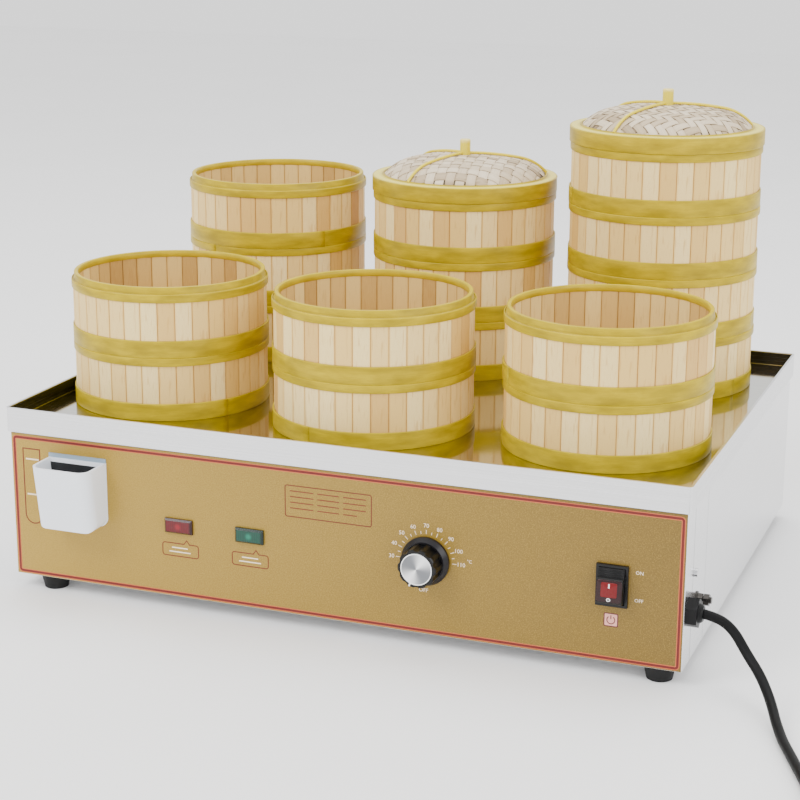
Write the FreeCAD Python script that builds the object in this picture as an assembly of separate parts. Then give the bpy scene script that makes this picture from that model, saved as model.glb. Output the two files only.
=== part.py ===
import FreeCAD, Part
import math
import os

V = FreeCAD.Vector
os.makedirs("parts", exist_ok=True)

# A countertop steamer for bamboo baskets, in millimetres with +Z up.
# It is drawn about the middle of its casing, with the table at z = 0.

# Casing
FOOT_HEIGHT = 14.0
CASE_X = 340.0
CASE_Y = 252.0
CASE_TOP = 172.0
SHEET = 1.2
BEND_RADIUS = 1.5
OVERLAY_THICK = 0.8
OVERLAY_X = 339.5
OVERLAY_BOTTOM = 14.5
OVERLAY_TOP = 161.5
PAN_RIM = 34.0
FLANGE_WIDE = 12.0
SEAM_BACK = -167.4
SEAM_FRONT = -168.0
STRIP_THICK = 1.4
STRIP_FRONT = -221.0
STRIP_BACK = -160.0
STRIP_BOTTOM = 40.0
STRIP_TOP = 165.0

# Lift-off tray with its rim
RIM_OVERHANG = 3.0
RIM_BOTTOM = 163.0
RIM_TOP = 187.5
RIM_WALL = 2.4
SKIRT_WALL = 1.0
DECK_THICK = 1.0
DECK_TOP = CASE_TOP + DECK_THICK
RIM_CORNER = 4.0
STEAM_HALF = 45.0
STEAM_CORNER = 8.0
STEAM_X = (-228.0, 0.0, 228.0)
STEAM_Y = (-108.0, 148.0)

# Water tank and heater
TANK_X = 325.0
TANK_FRONT = -150.0
TANK_BACK = 234.0
TANK_BOTTOM = 70.0
TANK_WALL = 1.0
TANK_FLANGE_X = 336.0
TANK_INLET_HALF = 20.0
TANK_FLANGE_FRONT = -156.0
TANK_FLANGE_BACK = 248.0
HEATER_Z = 90.0
HEATER_R = 5.0
HEATER_LEGS = (-120.0, -40.0, 40.0, 120.0)
HEATER_BEND = 40.0
HEATER_BACK = 130.0
HEATER_TURN = -90.0
HEATER_FRONT = -175.0
HEATER_THREAD_R = 6.0
HEATER_NUT_ACROSS = 17.0
HEATER_NUT_THICK = 5.0
HEATER_REST_Y = (-20.0, 100.0)

# Front features, by their x and height
LAMP_X = (-155.5, -80.2)
LAMP_Z = 87.3
LAMP_WIDE = 29.2
LAMP_HIGH = 14.4
LAMP_PROUD = 4.0
LAMP_CHAMFER = 1.8
LAMP_BODY_WIDE = 26.0
LAMP_BODY_HIGH = 11.0
LAMP_BODY_DEEP = 24.0
KNOB_X = 98.5
KNOB_Z = 86.8
SPINDLE_R = 3.0
SPINDLE_HOLE_R = 5.0
KNOB_FRONT = -278.5
KNOB_SKIRT_R = 23.2
KNOB_BODY_R = 19.0
KNOB_CAP_R = 15.0
KNOB_CAP_THICK = 0.7
KNOB_SCALLOPS = 10
KNOB_SCALLOP_R = 5.5
KNOB_SCALLOP_AT = 22.5
THERMOSTAT_HALF = 18.0
THERMOSTAT_LONG = 30.0
THERMOSTAT_TUBE_X = KNOB_X - 10.0
THERMOSTAT_BULB_LONG = 95.0
SWITCH_X = 274.8
SWITCH_Z = 87.9
SWITCH_WIDE = 29.2
SWITCH_HIGH = 39.0
SWITCH_PROUD = 3.5
SWITCH_BOX_WIDE = 26.4
SWITCH_BOX_HIGH = 36.4
SWITCH_BOX_DEEP = 26.0
SWITCH_WALL = 1.0
PIVOT_Y = -252.5
ROCKER_TILT = 12.0
ROCKER_WIDE = 24.0
ROCKER_PROFILE = (
    (-15.8, 0.5), (-15.8, -9.0), (-14.6, -10.5), (6.2, -12.2), (7.2, -11.2),
    (7.2, -8.6), (14.8, -8.2), (15.8, -7.2), (15.8, 0.5), (9.0, 6.0), (-9.0, 6.0),
)
PIN_R = 1.5
PIN_LONG = 26.0
RUNNING_GAP = 0.05
HOLE_GAP = 0.1
BLADE_HALF_THICK = 0.4
BLADE_HALF_HIGH = 3.0

# Right side features, by their y and height
GLAND_Y = -234.5
GLAND_Z = 65.5
GLAND_REACH = 354.0
GLAND_COLLAR_ACROSS = 24.0
GLAND_COLLAR_THICK = 10.0
GLAND_SEAL_R = 5.5
GLAND_THREAD_R = 8.0
GLAND_BODY_R = 9.0
STUD_Y = -201.7
STUD_Z = 66.0
STUD_REACH = 354.0
SIDE_SCREW_Y = -213.0
SIDE_SCREW_Z = 95.0

# Filler cup on the front
CUP_X = -265.0
CUP_PIPE_Z = 88.0
CUP_PIPE_R = 8.0
CUP_PIPE_BORE = 6.0
CUP_PIPE_SOCKET = 2.0
CUP_PIPE_PROUD = 3.0
CUP_LEFT = -296.6
CUP_RIGHT = -233.8
CUP_TOP = 141.5
CUP_BOTTOM = 77.5
CUP_TOP_REACH = 40.0
CUP_BOTTOM_REACH = 30.0
CUP_CORNER = 12.0
CUP_LOW_CORNER = 8.0
CUP_MOUTH = (-294.1, -236.3, -255.5, -289.5)
CUP_MOUTH_CORNER = 9.5
CUP_FLOOR = (-289.5, -241.0, -255.5, -279.5)
CUP_FLOOR_CORNER = 6.0
CUP_FLOOR_THICK = 2.5
CUP_FLANGE_LEFT = -296.8
CUP_FLANGE_RIGHT = -233.6
CUP_FLANGE_TOP = 145.7
CUP_FLANGE_THICK = 1.5
CUP_FLANGE_EDGE = 1.5

# Drain valve on the back
DRAIN_X = -250.0
DRAIN_Z = 84.0
DRAIN_AXIS_Y = 265.0
DRAIN_BODY_BACK = 277.0
DRAIN_REACH = 290.0
DRAIN_BORE = 4.5
DRAIN_THREAD_R = 9.0
DRAIN_BODY_R = 13.0
DRAIN_NUT_ACROSS = 22.0
DRAIN_NUT_THICK = 5.0
BALL_R = 7.5
BALL_GAP = 0.1
STEM_R = 4.0

# Feet and fasteners
FOOT_X = 311.0
FOOT_MID_X = 6.0
FOOT_Y = 236.0
FOOT_TOP_R = 15.0
FOOT_LOW_R = 12.0
FOOT_RECESS_R = 5.0
FOOT_RECESS_TOP = 8.0
SCREW_R = 2.0
SCREW_HOLE_R = 2.15
SCREW_HEAD_R = 4.0
SCREW_HEAD_HIGH = 2.8
NUT_ACROSS = 7.0
NUT_HIGH = 3.2
BACK_SCREW_X = (-200.0, 0.0, 200.0)
BACK_SCREW_Z = 24.0

# Bamboo baskets, each standing on the one below it
STAVES = 36
STAVE_R = 98.4
BORE_R = 93.0
SOCKET_R = 97.2
SOCKET_HIGH = 8.0
PITCH = 63.6
LIP_R = 96.6
LIP_HIGH = 7.0
HOOP_OUT = 100.0
HOOP_IN = 98.5
LOW_HOOP_TOP = 17.4
HIGH_HOOP_BOTTOM = 55.4
GRATE_BAR_X = (-50.0, 0.0, 50.0)
GRATE_BAR_WIDE = 14.0
GRATE_BAR_TOP = 11.0
GRATE_TOP = 13.0
SLAT_WIDE = 14.0
SLAT_STEP = 18.0
STACKS = (
    ("front_left", -235.8, -105.5, 2),
    ("front_middle", -5.7, -120.8, 2),
    ("front_right", 226.0, -105.1, 2),
    ("back_left", -231.2, 150.0, 3),
    ("back_middle", -8.4, 151.8, 3),
    ("back_right", 213.0, 151.8, 4),
)
LIDDED = ("back_middle", "back_right")

# Lids
LID_RING_R = 101.0
LID_RING_HIGH = 16.3
LID_RING_IN = 88.5
LID_SOCKET_HIGH = 7.6
DOME_RISE = 22.0
DOME_THICK = 1.6
DOME_CAP_R = 60.0
DOME_CAP_DROP = 5.67
DOME_BULGE = 2.75
KNOB_STICK_R = 5.75
KNOB_STICK_TOP = 54.5
KNOB_STICK_BOTTOM = 33.0
RIB_R = 1.5
RIB_GAP = 0.05
RIB_ANGLES = (-113.0, 26.0, 146.0)

# Mains lead
CORD_R = 4.5
CORD_ROUTE = (
    (354.0, -234.5, 65.5),
    (365.8, -235.4, 64.0),
    (376.7, -238.2, 59.7),
    (385.5, -242.5, 52.9),
    (392.7, -247.8, 44.8),
    (400.1, -253.8, 37.7),
    (407.8, -260.7, 31.5),
    (414.5, -268.7, 25.7),
    (420.3, -277.8, 20.3),
    (425.5, -287.5, 15.6),
    (430.0, -297.9, 11.7),
    (434.0, -309.0, 8.8),
    (438.5, -320.0, 6.5),
    (444.0, -334.0, 4.7),
    (452.5, -353.5, 4.5),
    (487.8, -434.5, 4.5),
    (491.0, -448.1, 4.5),
    (492.5, -460.0, 4.5),
    (492.5, -468.0, 4.5),
)
ARC_SHARE = 0.49
COIL_X = 554.0
COIL_Y = -480.0
COIL_LOW_Z = CORD_R
COIL_HIGH_Z = 14.0
COIL_LOW_STOPS = (-61.5, 56.5, -51.5, 45.0)
COIL_HIGH_STOPS = (-45.0, 51.0, -56.0, 61.0)
COIL_END = 12.0
PLUG_TAIL = 34.0
PLUG_LONG = 40.0
PLUG_WIDE = 34.0
PLUG_HIGH = 28.0
PLUG_CORNER = 5.0
PLUG_PIN_LONG = 18.0
PLUG_PIN_WIDE = 6.3
PLUG_PIN_THICK = 1.6

# The parts are saved about the middle of what the casing carries
LEFT_REACH = -(CASE_X + RIM_OVERHANG)
ORIGIN_X = (GLAND_REACH + LEFT_REACH) / 2.0
ORIGIN_Y = (DRAIN_REACH - CASE_Y - CUP_TOP_REACH) / 2.0


# Shape helpers
def block(x0, x1, y0, y1, z0, z1):
    return Part.makeBox(x1 - x0, y1 - y0, z1 - z0, V(x0, y0, z0))


def standing_box(x, z, half_wide, half_high, front, back):
    return block(x - half_wide, x + half_wide, front, back, z - half_high, z + half_high)


def rod(radius, start, end):
    start = V(*start)
    along = V(*end) - start
    return Part.makeCylinder(radius, along.Length, start, along)


def polygon_face(points):
    return Part.Face(Part.makePolygon([V(*p) for p in points] + [V(*points[0])]))


def hexagon(across, start, end):
    start = V(*start)
    along = V(*end) - start
    radius = across / math.sqrt(3.0)
    side = V(0, 0, 1) if abs(along.z) < 0.5 * along.Length else V(1, 0, 0)
    other = along.cross(side).normalize()
    corners = []
    for step in range(6):
        angle = math.radians(60 * step)
        corners.append(start + side * (radius * math.cos(angle)) + other * (radius * math.sin(angle)))
    return Part.Face(Part.makePolygon(corners + [corners[0]])).extrude(along)


def upright_block(x0, x1, y0, y1, z0, z1, corner):
    bottom = []
    for cx, cy, first in (
        (x1 - corner, y1 - corner, 0),
        (x0 + corner, y1 - corner, 90),
        (x0 + corner, y0 + corner, 180),
        (x1 - corner, y0 + corner, 270),
    ):
        bends = []
        for turn in (0, 45, 90):
            angle = math.radians(first + turn)
            bends.append(V(cx + corner * math.cos(angle), cy + corner * math.sin(angle), z0))
        bottom.append(bends)
    edges = []
    for i in range(4):
        edges.append(Part.Arc(*bottom[i]).toShape())
        edges.append(Part.LineSegment(bottom[i][2], bottom[(i + 1) % 4][0]).toShape())
    return Part.Face(Part.Wire(edges)).extrude(V(0, 0, z1 - z0))


def turned(profile, foot, axis):
    # profile is pairs of radius and distance along the axis
    points = [V(r, 0, t) for r, t in profile]
    face = Part.Face(Part.makePolygon(points + [points[0]]))
    solid = face.revolve(V(0, 0, 0), V(0, 0, 1), 360)
    turn = FreeCAD.Rotation(V(0, 0, 1), V(*axis))
    solid.Placement = FreeCAD.Placement(V(*foot), turn)
    return solid


def round_uprights(shape, spots, radius):
    edges = []
    for edge in shape.Edges:
        low = edge.Vertexes[0].Point
        high = edge.Vertexes[-1].Point
        for x, y in spots:
            if abs(low.x - x) + abs(low.y - y) + abs(high.x - x) + abs(high.y - y) < 0.01:
                edges.append(edge)
    return shape.makeFillet(radius, edges)


def fused(first, others):
    return first.multiFuse(others).removeSplitter()


def save(name, pieces):
    shape = pieces[0] if len(pieces) == 1 else Part.makeCompound(pieces)
    shape = shape.copy()
    shape.translate(V(-ORIGIN_X, -ORIGIN_Y, 0))
    if not shape.isValid():
        print("not valid:", name)
    shape.exportStep("parts/" + name + ".step")


# Casing pieces
def bottom_pan():
    front = -(CASE_Y - OVERLAY_THICK - SHEET)
    back = CASE_Y - SHEET
    side = CASE_X - SHEET
    pan = block(-side, side, front, back, FOOT_HEIGHT, PAN_RIM)
    inside = block(
        -side + SHEET, side - SHEET, front + SHEET, back - SHEET,
        FOOT_HEIGHT + SHEET, PAN_RIM + 1,
    )
    cutters = [inside]
    for sx in (-1, 1):
        for sy in (-1, 1):
            x = FOOT_MID_X + sx * FOOT_X
            y = sy * FOOT_Y
            cutters.append(rod(SCREW_HOLE_R, (x, y, FOOT_HEIGHT - 1), (x, y, FOOT_HEIGHT + 2)))
    for x in BACK_SCREW_X:
        cutters.append(rod(SCREW_HOLE_R, (x, back - 2, BACK_SCREW_Z), (x, back + 1, BACK_SCREW_Z)))
    for x in range(-200, 201, 100):
        for y in (-190, 190):
            cutters.append(block(x - 30, x + 30, y - 3, y + 3, FOOT_HEIGHT - 1, FOOT_HEIGHT + 2))
    return pan.cut(cutters)


def rear_casing():
    side = CASE_X - SHEET
    back = CASE_Y - SHEET
    shell = block(-CASE_X, CASE_X, SEAM_BACK, CASE_Y, FOOT_HEIGHT, CASE_TOP)
    shell = round_uprights(shell, ((-CASE_X, CASE_Y), (CASE_X, CASE_Y)), BEND_RADIUS)
    room = block(-side, side, SEAM_BACK - 1, back, FOOT_HEIGHT - 1, CASE_TOP - SHEET)
    top = block(
        -side + FLANGE_WIDE, side - FLANGE_WIDE,
        SEAM_BACK - 1, back - FLANGE_WIDE,
        CASE_TOP - 2, CASE_TOP + 1,
    )
    shell = shell.cut([room, top])
    strips = []
    for low, high in ((side - STRIP_THICK, side), (-side, -side + STRIP_THICK)):
        strips.append(block(low, high, STRIP_FRONT, STRIP_BACK, STRIP_BOTTOM, STRIP_TOP))
    shell = fused(shell, strips)
    hole_r = DRAIN_THREAD_R + 0.5
    cutters = [rod(hole_r, (DRAIN_X, back - 1, DRAIN_Z), (DRAIN_X, CASE_Y + 1, DRAIN_Z))]
    for x in BACK_SCREW_X:
        cutters.append(rod(SCREW_HOLE_R, (x, back - 1, BACK_SCREW_Z), (x, CASE_Y + 1, BACK_SCREW_Z)))
    for sx in (-1, 1):
        start = (sx * (side - 3), SIDE_SCREW_Y, SIDE_SCREW_Z)
        end = (sx * (side + 2), SIDE_SCREW_Y, SIDE_SCREW_Z)
        cutters.append(rod(SCREW_HOLE_R, start, end))
    cutters.append(rod(SPINDLE_R + 0.2, (side - 3, STUD_Y, STUD_Z), (side + 2, STUD_Y, STUD_Z)))
    return shell.cut(cutters)


def front_cutters(back):
    # the holes that the front panel and its overlay share
    front = -(CASE_Y + 1)
    cutters = []
    for x in LAMP_X:
        cutters.append(standing_box(
            x, LAMP_Z, LAMP_BODY_WIDE / 2 + HOLE_GAP, LAMP_BODY_HIGH / 2 + HOLE_GAP, front, back,
        ))
    cutters.append(rod(SPINDLE_HOLE_R, (KNOB_X, front, KNOB_Z), (KNOB_X, back, KNOB_Z)))
    cutters.append(standing_box(
        SWITCH_X, SWITCH_Z, SWITCH_BOX_WIDE / 2 + HOLE_GAP, SWITCH_BOX_HIGH / 2 + HOLE_GAP, front, back,
    ))
    cutters.append(rod(CUP_PIPE_R + 0.2, (CUP_X, front, CUP_PIPE_Z), (CUP_X, back, CUP_PIPE_Z)))
    return cutters


def front_panel():
    face = -(CASE_Y - OVERLAY_THICK)
    inner = face + SHEET
    side = CASE_X - SHEET
    pieces = []
    for low, high in ((side, CASE_X), (-CASE_X, -side)):
        pieces.append(block(low, high, inner, SEAM_FRONT, FOOT_HEIGHT, CASE_TOP))
    pieces.append(block(-side, side, inner, inner + FLANGE_WIDE, CASE_TOP - SHEET, CASE_TOP))
    panel = fused(block(-CASE_X, CASE_X, face, inner, FOOT_HEIGHT, CASE_TOP), pieces)
    panel = round_uprights(panel, ((-CASE_X, face), (CASE_X, face)), 1.0)
    cutters = front_cutters(inner + 1)
    for sx in (-1, 1):
        start = (sx * (side - 1), SIDE_SCREW_Y, SIDE_SCREW_Z)
        end = (sx * (CASE_X + 1), SIDE_SCREW_Y, SIDE_SCREW_Z)
        cutters.append(rod(SCREW_HOLE_R, start, end))
    cutters.append(rod(8.2, (side - 1, GLAND_Y, GLAND_Z), (CASE_X + 1, GLAND_Y, GLAND_Z)))
    cutters.append(rod(SPINDLE_R + 0.2, (side - 1, STUD_Y, STUD_Z), (CASE_X + 1, STUD_Y, STUD_Z)))
    return panel.cut(cutters)


def front_overlay():
    face = -CASE_Y
    sheet = block(-OVERLAY_X, OVERLAY_X, face, face + OVERLAY_THICK, OVERLAY_BOTTOM, OVERLAY_TOP)
    return sheet.cut(front_cutters(face + OVERLAY_THICK + 1))


def top_tray():
    # four folded rails round a deck plate that has a square steam opening under each stack
    out_x = CASE_X + RIM_OVERHANG
    out_y = CASE_Y + RIM_OVERHANG
    in_x = out_x - RIM_WALL
    in_y = out_y - RIM_WALL
    rim = upright_block(-out_x, out_x, -out_y, out_y, RIM_BOTTOM, RIM_TOP, RIM_CORNER)
    deck_edge = RIM_CORNER - RIM_WALL
    well = upright_block(-in_x, in_x, -in_y, in_y, CASE_TOP, RIM_TOP + 1, deck_edge)
    under = upright_block(
        -out_x + SKIRT_WALL, out_x - SKIRT_WALL, -out_y + SKIRT_WALL, out_y - SKIRT_WALL,
        RIM_BOTTOM - 1, CASE_TOP, RIM_CORNER - SKIRT_WALL,
    )
    rim = rim.cut([well, under])
    mitre_y = out_y - RIM_CORNER
    rails = []
    for x0, x1, y0, y1 in (
        (-out_x, out_x, -out_y, -mitre_y),
        (-out_x, out_x, mitre_y, out_y),
        (-out_x, 0, -mitre_y, mitre_y),
        (0, out_x, -mitre_y, mitre_y),
    ):
        rails.append(rim.common(block(x0, x1, y0, y1, RIM_BOTTOM, RIM_TOP)))
    deck = upright_block(-in_x, in_x, -in_y, in_y, CASE_TOP, DECK_TOP, deck_edge)
    openings = []
    for x in STEAM_X:
        for y in STEAM_Y:
            openings.append(upright_block(
                x - STEAM_HALF, x + STEAM_HALF, y - STEAM_HALF, y + STEAM_HALF,
                CASE_TOP - 1, DECK_TOP + 1, STEAM_CORNER,
            ))
    return [deck.cut(openings)] + rails


def rubber_feet():
    feet = []
    for sx in (-1, 1):
        for sy in (-1, 1):
            profile = (
                (FOOT_RECESS_R, 0), (FOOT_LOW_R, 0), (FOOT_TOP_R, FOOT_HEIGHT),
                (SCREW_HOLE_R, FOOT_HEIGHT), (SCREW_HOLE_R, FOOT_RECESS_TOP),
                (FOOT_RECESS_R, FOOT_RECESS_TOP),
            )
            feet.append(turned(profile, (FOOT_MID_X + sx * FOOT_X, sy * FOOT_Y, 0), (0, 0, 1)))
    return feet


def screw_and_nut(seat, axis, grip):
    # the head sits on seat, the shank points along axis and the nut closes the grip
    seat = V(*seat)
    axis = V(*axis)
    head = Part.makeCylinder(SCREW_HEAD_R, SCREW_HEAD_HIGH, seat, axis * -1)
    shank = Part.makeCylinder(SCREW_R, grip + NUT_HIGH + 1.5, seat, axis)
    nut = hexagon(NUT_ACROSS, seat + axis * grip, seat + axis * (grip + NUT_HIGH))
    nut = nut.cut(Part.makeCylinder(SCREW_R, NUT_HIGH + 2, seat + axis * (grip - 1), axis))
    return [head.fuse(shank).removeSplitter(), nut]


def casing_screws():
    pieces = []
    foot_grip = FOOT_HEIGHT + SHEET - FOOT_RECESS_TOP
    for sx in (-1, 1):
        for sy in (-1, 1):
            seat = (FOOT_MID_X + sx * FOOT_X, sy * FOOT_Y, FOOT_RECESS_TOP)
            pieces += screw_and_nut(seat, (0, 0, 1), foot_grip)
        pieces += screw_and_nut((sx * CASE_X, SIDE_SCREW_Y, SIDE_SCREW_Z), (-sx, 0, 0), SHEET + STRIP_THICK)
    for x in BACK_SCREW_X:
        pieces += screw_and_nut((x, CASE_Y, BACK_SCREW_Z), (0, -1, 0), 2 * SHEET)
    return pieces


# Water tank, heater and thermostat
def water_tank():
    # welded plates: floor, walls, an inlet plate round the filler pipe, and a flange of four strips
    top = CASE_TOP - SHEET
    wall_top = top - SHEET
    floor_top = TANK_BOTTOM + TANK_WALL
    in_x = TANK_X - TANK_WALL
    in_front = TANK_FRONT + TANK_WALL
    in_back = TANK_BACK - TANK_WALL
    inlet_left = CUP_X - TANK_INLET_HALF
    inlet_right = CUP_X + TANK_INLET_HALF
    plates = [
        block(-TANK_X, TANK_X, TANK_FRONT, TANK_BACK, TANK_BOTTOM, floor_top),
        block(-TANK_X, -in_x, in_front, in_back, floor_top, wall_top),
        block(in_x, TANK_X, in_front, in_back, floor_top, wall_top),
        block(-TANK_X, inlet_left, TANK_FRONT, in_front, floor_top, wall_top),
        block(-TANK_FLANGE_X, TANK_FLANGE_X, TANK_FLANGE_FRONT, in_front, wall_top, top),
        block(-TANK_FLANGE_X, TANK_FLANGE_X, in_back, TANK_FLANGE_BACK, wall_top, top),
        block(-TANK_FLANGE_X, -in_x, in_front, in_back, wall_top, top),
        block(in_x, TANK_FLANGE_X, in_front, in_back, wall_top, top),
    ]

    def wall_hole(x, z, radius, y):
        return rod(radius, (x, y - 1, z), (x, y + TANK_WALL + 1, z))

    inlet = block(inlet_left, inlet_right, TANK_FRONT, in_front, floor_top, wall_top)
    plates.append(inlet.cut(wall_hole(CUP_X, CUP_PIPE_Z, CUP_PIPE_R + 0.2, TANK_FRONT)))
    front = block(inlet_right, TANK_X, TANK_FRONT, in_front, floor_top, wall_top)
    plates.append(front.cut([
        wall_hole(HEATER_LEGS[0], HEATER_Z, HEATER_THREAD_R + HOLE_GAP, TANK_FRONT),
        wall_hole(HEATER_LEGS[3], HEATER_Z, HEATER_THREAD_R + HOLE_GAP, TANK_FRONT),
        wall_hole(THERMOSTAT_TUBE_X, KNOB_Z, 4.2, TANK_FRONT),
    ]))
    back = block(-TANK_X, TANK_X, in_back, TANK_BACK, floor_top, wall_top)
    plates.append(back.cut(wall_hole(DRAIN_X, DRAIN_Z, DRAIN_THREAD_R + 0.2, in_back)))
    return plates


def heating_element():
    z = HEATER_Z
    left, inner_left, inner_right, right = HEATER_LEGS
    turns = []
    for x, y, bulge in (
        (left + HEATER_BEND, HEATER_BACK, 1),
        (0.0, HEATER_TURN, -1),
        (right - HEATER_BEND, HEATER_BACK, 1),
    ):
        start = V(x - HEATER_BEND, y, z)
        middle = V(x, y + bulge * HEATER_BEND, z)
        turns.append((start, middle, V(x + HEATER_BEND, y, z)))
    first = V(left, HEATER_FRONT, z)
    last = V(right, HEATER_FRONT, z)
    edges = []
    point = first
    for start, middle, end in turns:
        edges.append(Part.LineSegment(point, start).toShape())
        edges.append(Part.Arc(start, middle, end).toShape())
        point = end
    edges.append(Part.LineSegment(point, last).toShape())
    profile = Part.Wire(Part.makeCircle(HEATER_R, first, V(0, 1, 0)))
    tube = Part.Wire(edges).makePipeShell([profile], True, False)
    extras = []
    for x in (left, right):
        extras.append(rod(2.0, (x, HEATER_FRONT - 13, z), (x, HEATER_FRONT + 2, z)))
        extras.append(rod(HEATER_THREAD_R, (x, TANK_FRONT - 5, z), (x, TANK_FRONT + 1, z)))
        extras.append(rod(10.0, (x, TANK_FRONT + 1, z), (x, TANK_FRONT + 6, z)))
    tube = fused(tube, extras)
    pieces = [tube]
    for x in (left, right):
        nut = hexagon(HEATER_NUT_ACROSS, (x, TANK_FRONT - HEATER_NUT_THICK, z), (x, TANK_FRONT, z))
        pieces.append(nut.cut(rod(HEATER_THREAD_R, (x, TANK_FRONT - 6, z), (x, TANK_FRONT + 1, z))))
    for y in HEATER_REST_Y:
        low = TANK_BOTTOM + TANK_WALL
        pieces.append(block(left - 8, right + 8, y - 1, y + 1, low, z - HEATER_R))
    return pieces


def thermostat():
    front = -(CASE_Y - OVERLAY_THICK - SHEET)
    back = front + THERMOSTAT_LONG
    z = KNOB_Z
    body = standing_box(KNOB_X, z, THERMOSTAT_HALF, THERMOSTAT_HALF, front, back)
    body = body.cut(rod(SPINDLE_R + RUNNING_GAP, (KNOB_X, front - 1, z), (KNOB_X, front + 14, z)))
    x = THERMOSTAT_TUBE_X
    extras = [
        rod(0.8, (x, back - 1, z), (x, TANK_FRONT - 4, z)),
        hexagon(12.0, (x, TANK_FRONT - 5, z), (x, TANK_FRONT, z)),
        rod(4.0, (x, TANK_FRONT - 1, z), (x, TANK_FRONT + 1, z)),
        rod(6.0, (x, TANK_FRONT + 1, z), (x, TANK_FRONT + 3, z)),
        rod(3.0, (x, TANK_FRONT + 2, z), (x, TANK_FRONT + THERMOSTAT_BULB_LONG, z)),
    ]
    for dz in (-10.0, 10.0):
        extras.append(standing_box(KNOB_X, z + dz, BLADE_HALF_HIGH, BLADE_HALF_THICK, back - 1, back + 8))
    return fused(body, extras)


# Front controls
def control_knob():
    face = -(CASE_Y + 1.0)
    cap_y = KNOB_FRONT + KNOB_CAP_THICK
    axis = (0, -1, 0)
    skirt = turned(
        ((0, 0), (KNOB_SKIRT_R, 0), (KNOB_SKIRT_R, 3), (KNOB_SKIRT_R - 3.3, 7), (0, 7)),
        (KNOB_X, face, KNOB_Z), axis,
    )
    body_long = face - cap_y
    body = turned(
        ((0, 5), (KNOB_BODY_R, 5), (KNOB_BODY_R - 0.4, body_long - 1),
         (KNOB_BODY_R - 1.2, body_long), (0, body_long)),
        (KNOB_X, face, KNOB_Z), axis,
    )
    scallops = []
    for step in range(KNOB_SCALLOPS):
        angle = 2 * math.pi * (step + 0.5) / KNOB_SCALLOPS
        x = KNOB_X + KNOB_SCALLOP_AT * math.cos(angle)
        z = KNOB_Z + KNOB_SCALLOP_AT * math.sin(angle)
        scallops.append(rod(KNOB_SCALLOP_R, (x, face - 8, z), (x, face - 40, z)))
    body = body.cut(scallops)
    spindle = rod(SPINDLE_R, (KNOB_X, face - 2, KNOB_Z), (KNOB_X, face + 14, KNOB_Z))
    knob = fused(skirt, [body, spindle])
    cap = rod(KNOB_CAP_R, (KNOB_X, cap_y, KNOB_Z), (KNOB_X, KNOB_FRONT, KNOB_Z))
    return [knob, cap]


def indicator_lamps():
    lamps = []
    for x in LAMP_X:
        lens = standing_box(x, LAMP_Z, LAMP_WIDE / 2, LAMP_HIGH / 2, -CASE_Y - LAMP_PROUD, -CASE_Y)
        rim = []
        for edge in lens.Edges:
            if all(abs(v.Point.y + CASE_Y + LAMP_PROUD) < 0.01 for v in edge.Vertexes):
                rim.append(edge)
        lens = lens.makeChamfer(LAMP_CHAMFER, rim)
        back = -CASE_Y + LAMP_BODY_DEEP
        parts = [standing_box(x, LAMP_Z, LAMP_BODY_WIDE / 2, LAMP_BODY_HIGH / 2, -CASE_Y - 1, back)]
        for dx in (-6.0, 6.0):
            parts.append(standing_box(x + dx, LAMP_Z, BLADE_HALF_THICK, BLADE_HALF_HIGH, back - 1, back + 8))
        lamps.append(fused(lens, parts))
    return lamps


def switch_body():
    front = -CASE_Y - SWITCH_PROUD
    x = SWITCH_X
    z = SWITCH_Z
    back = -CASE_Y + SWITCH_BOX_DEEP
    half_wide = SWITCH_BOX_WIDE / 2
    half_high = SWITCH_BOX_HIGH / 2
    frame = standing_box(x, z, SWITCH_WIDE / 2, SWITCH_HIGH / 2, front, -CASE_Y)
    box = standing_box(x, z, half_wide, half_high, -CASE_Y - 1, back)
    body = fused(frame, [box])
    cutters = [
        standing_box(x, z, half_wide - SWITCH_WALL, half_high - SWITCH_WALL, front - 1, back - 6),
        rod(PIN_R + RUNNING_GAP, (x - half_wide - 0.2, PIVOT_Y, z), (x + half_wide + 0.2, PIVOT_Y, z)),
    ]
    body = body.cut(cutters)
    blades = []
    for dx in (-7.0, 7.0):
        for dz in (-9.0, 9.0):
            blades.append(standing_box(
                x + dx, z + dz, BLADE_HALF_THICK, BLADE_HALF_HIGH, back - 1, back + 8,
            ))
    return fused(body, blades)


def switch_rocker():
    # drawn square to the panel, then tilted to its switched-on rest
    points = []
    for dz, dy in ROCKER_PROFILE:
        points.append((SWITCH_X - ROCKER_WIDE / 2, PIVOT_Y + dy, SWITCH_Z + dz))
    rocker = polygon_face(points).extrude(V(ROCKER_WIDE, 0, 0))
    pin_half = PIN_LONG / 2
    pin = rod(PIN_R, (SWITCH_X - pin_half, PIVOT_Y, SWITCH_Z), (SWITCH_X + pin_half, PIVOT_Y, SWITCH_Z))
    rocker = fused(rocker, [pin])
    rocker.rotate(V(SWITCH_X, PIVOT_Y, SWITCH_Z), V(1, 0, 0), -ROCKER_TILT)
    return rocker


# Filler cup: a deep pocket with a straight feed pipe to the tank
def d_wire(x0, x1, back, front, z, corner):
    points = [V(x0, back, z), V(x1, back, z)]
    reach = corner * (1.0 - math.cos(math.radians(45)))
    right = Part.Arc(V(x1, front + corner, z), V(x1 - reach, front + reach, z), V(x1 - corner, front, z))
    left = Part.Arc(V(x0 + corner, front, z), V(x0 + reach, front + reach, z), V(x0, front + corner, z))
    edges = [
        Part.LineSegment(points[0], points[1]).toShape(),
        Part.LineSegment(points[1], V(x1, front + corner, z)).toShape(),
        right.toShape(),
        Part.LineSegment(V(x1 - corner, front, z), V(x0 + corner, front, z)).toShape(),
        left.toShape(),
        Part.LineSegment(V(x0, front + corner, z), points[0]).toShape(),
    ]
    return Part.Wire(edges)


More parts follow.
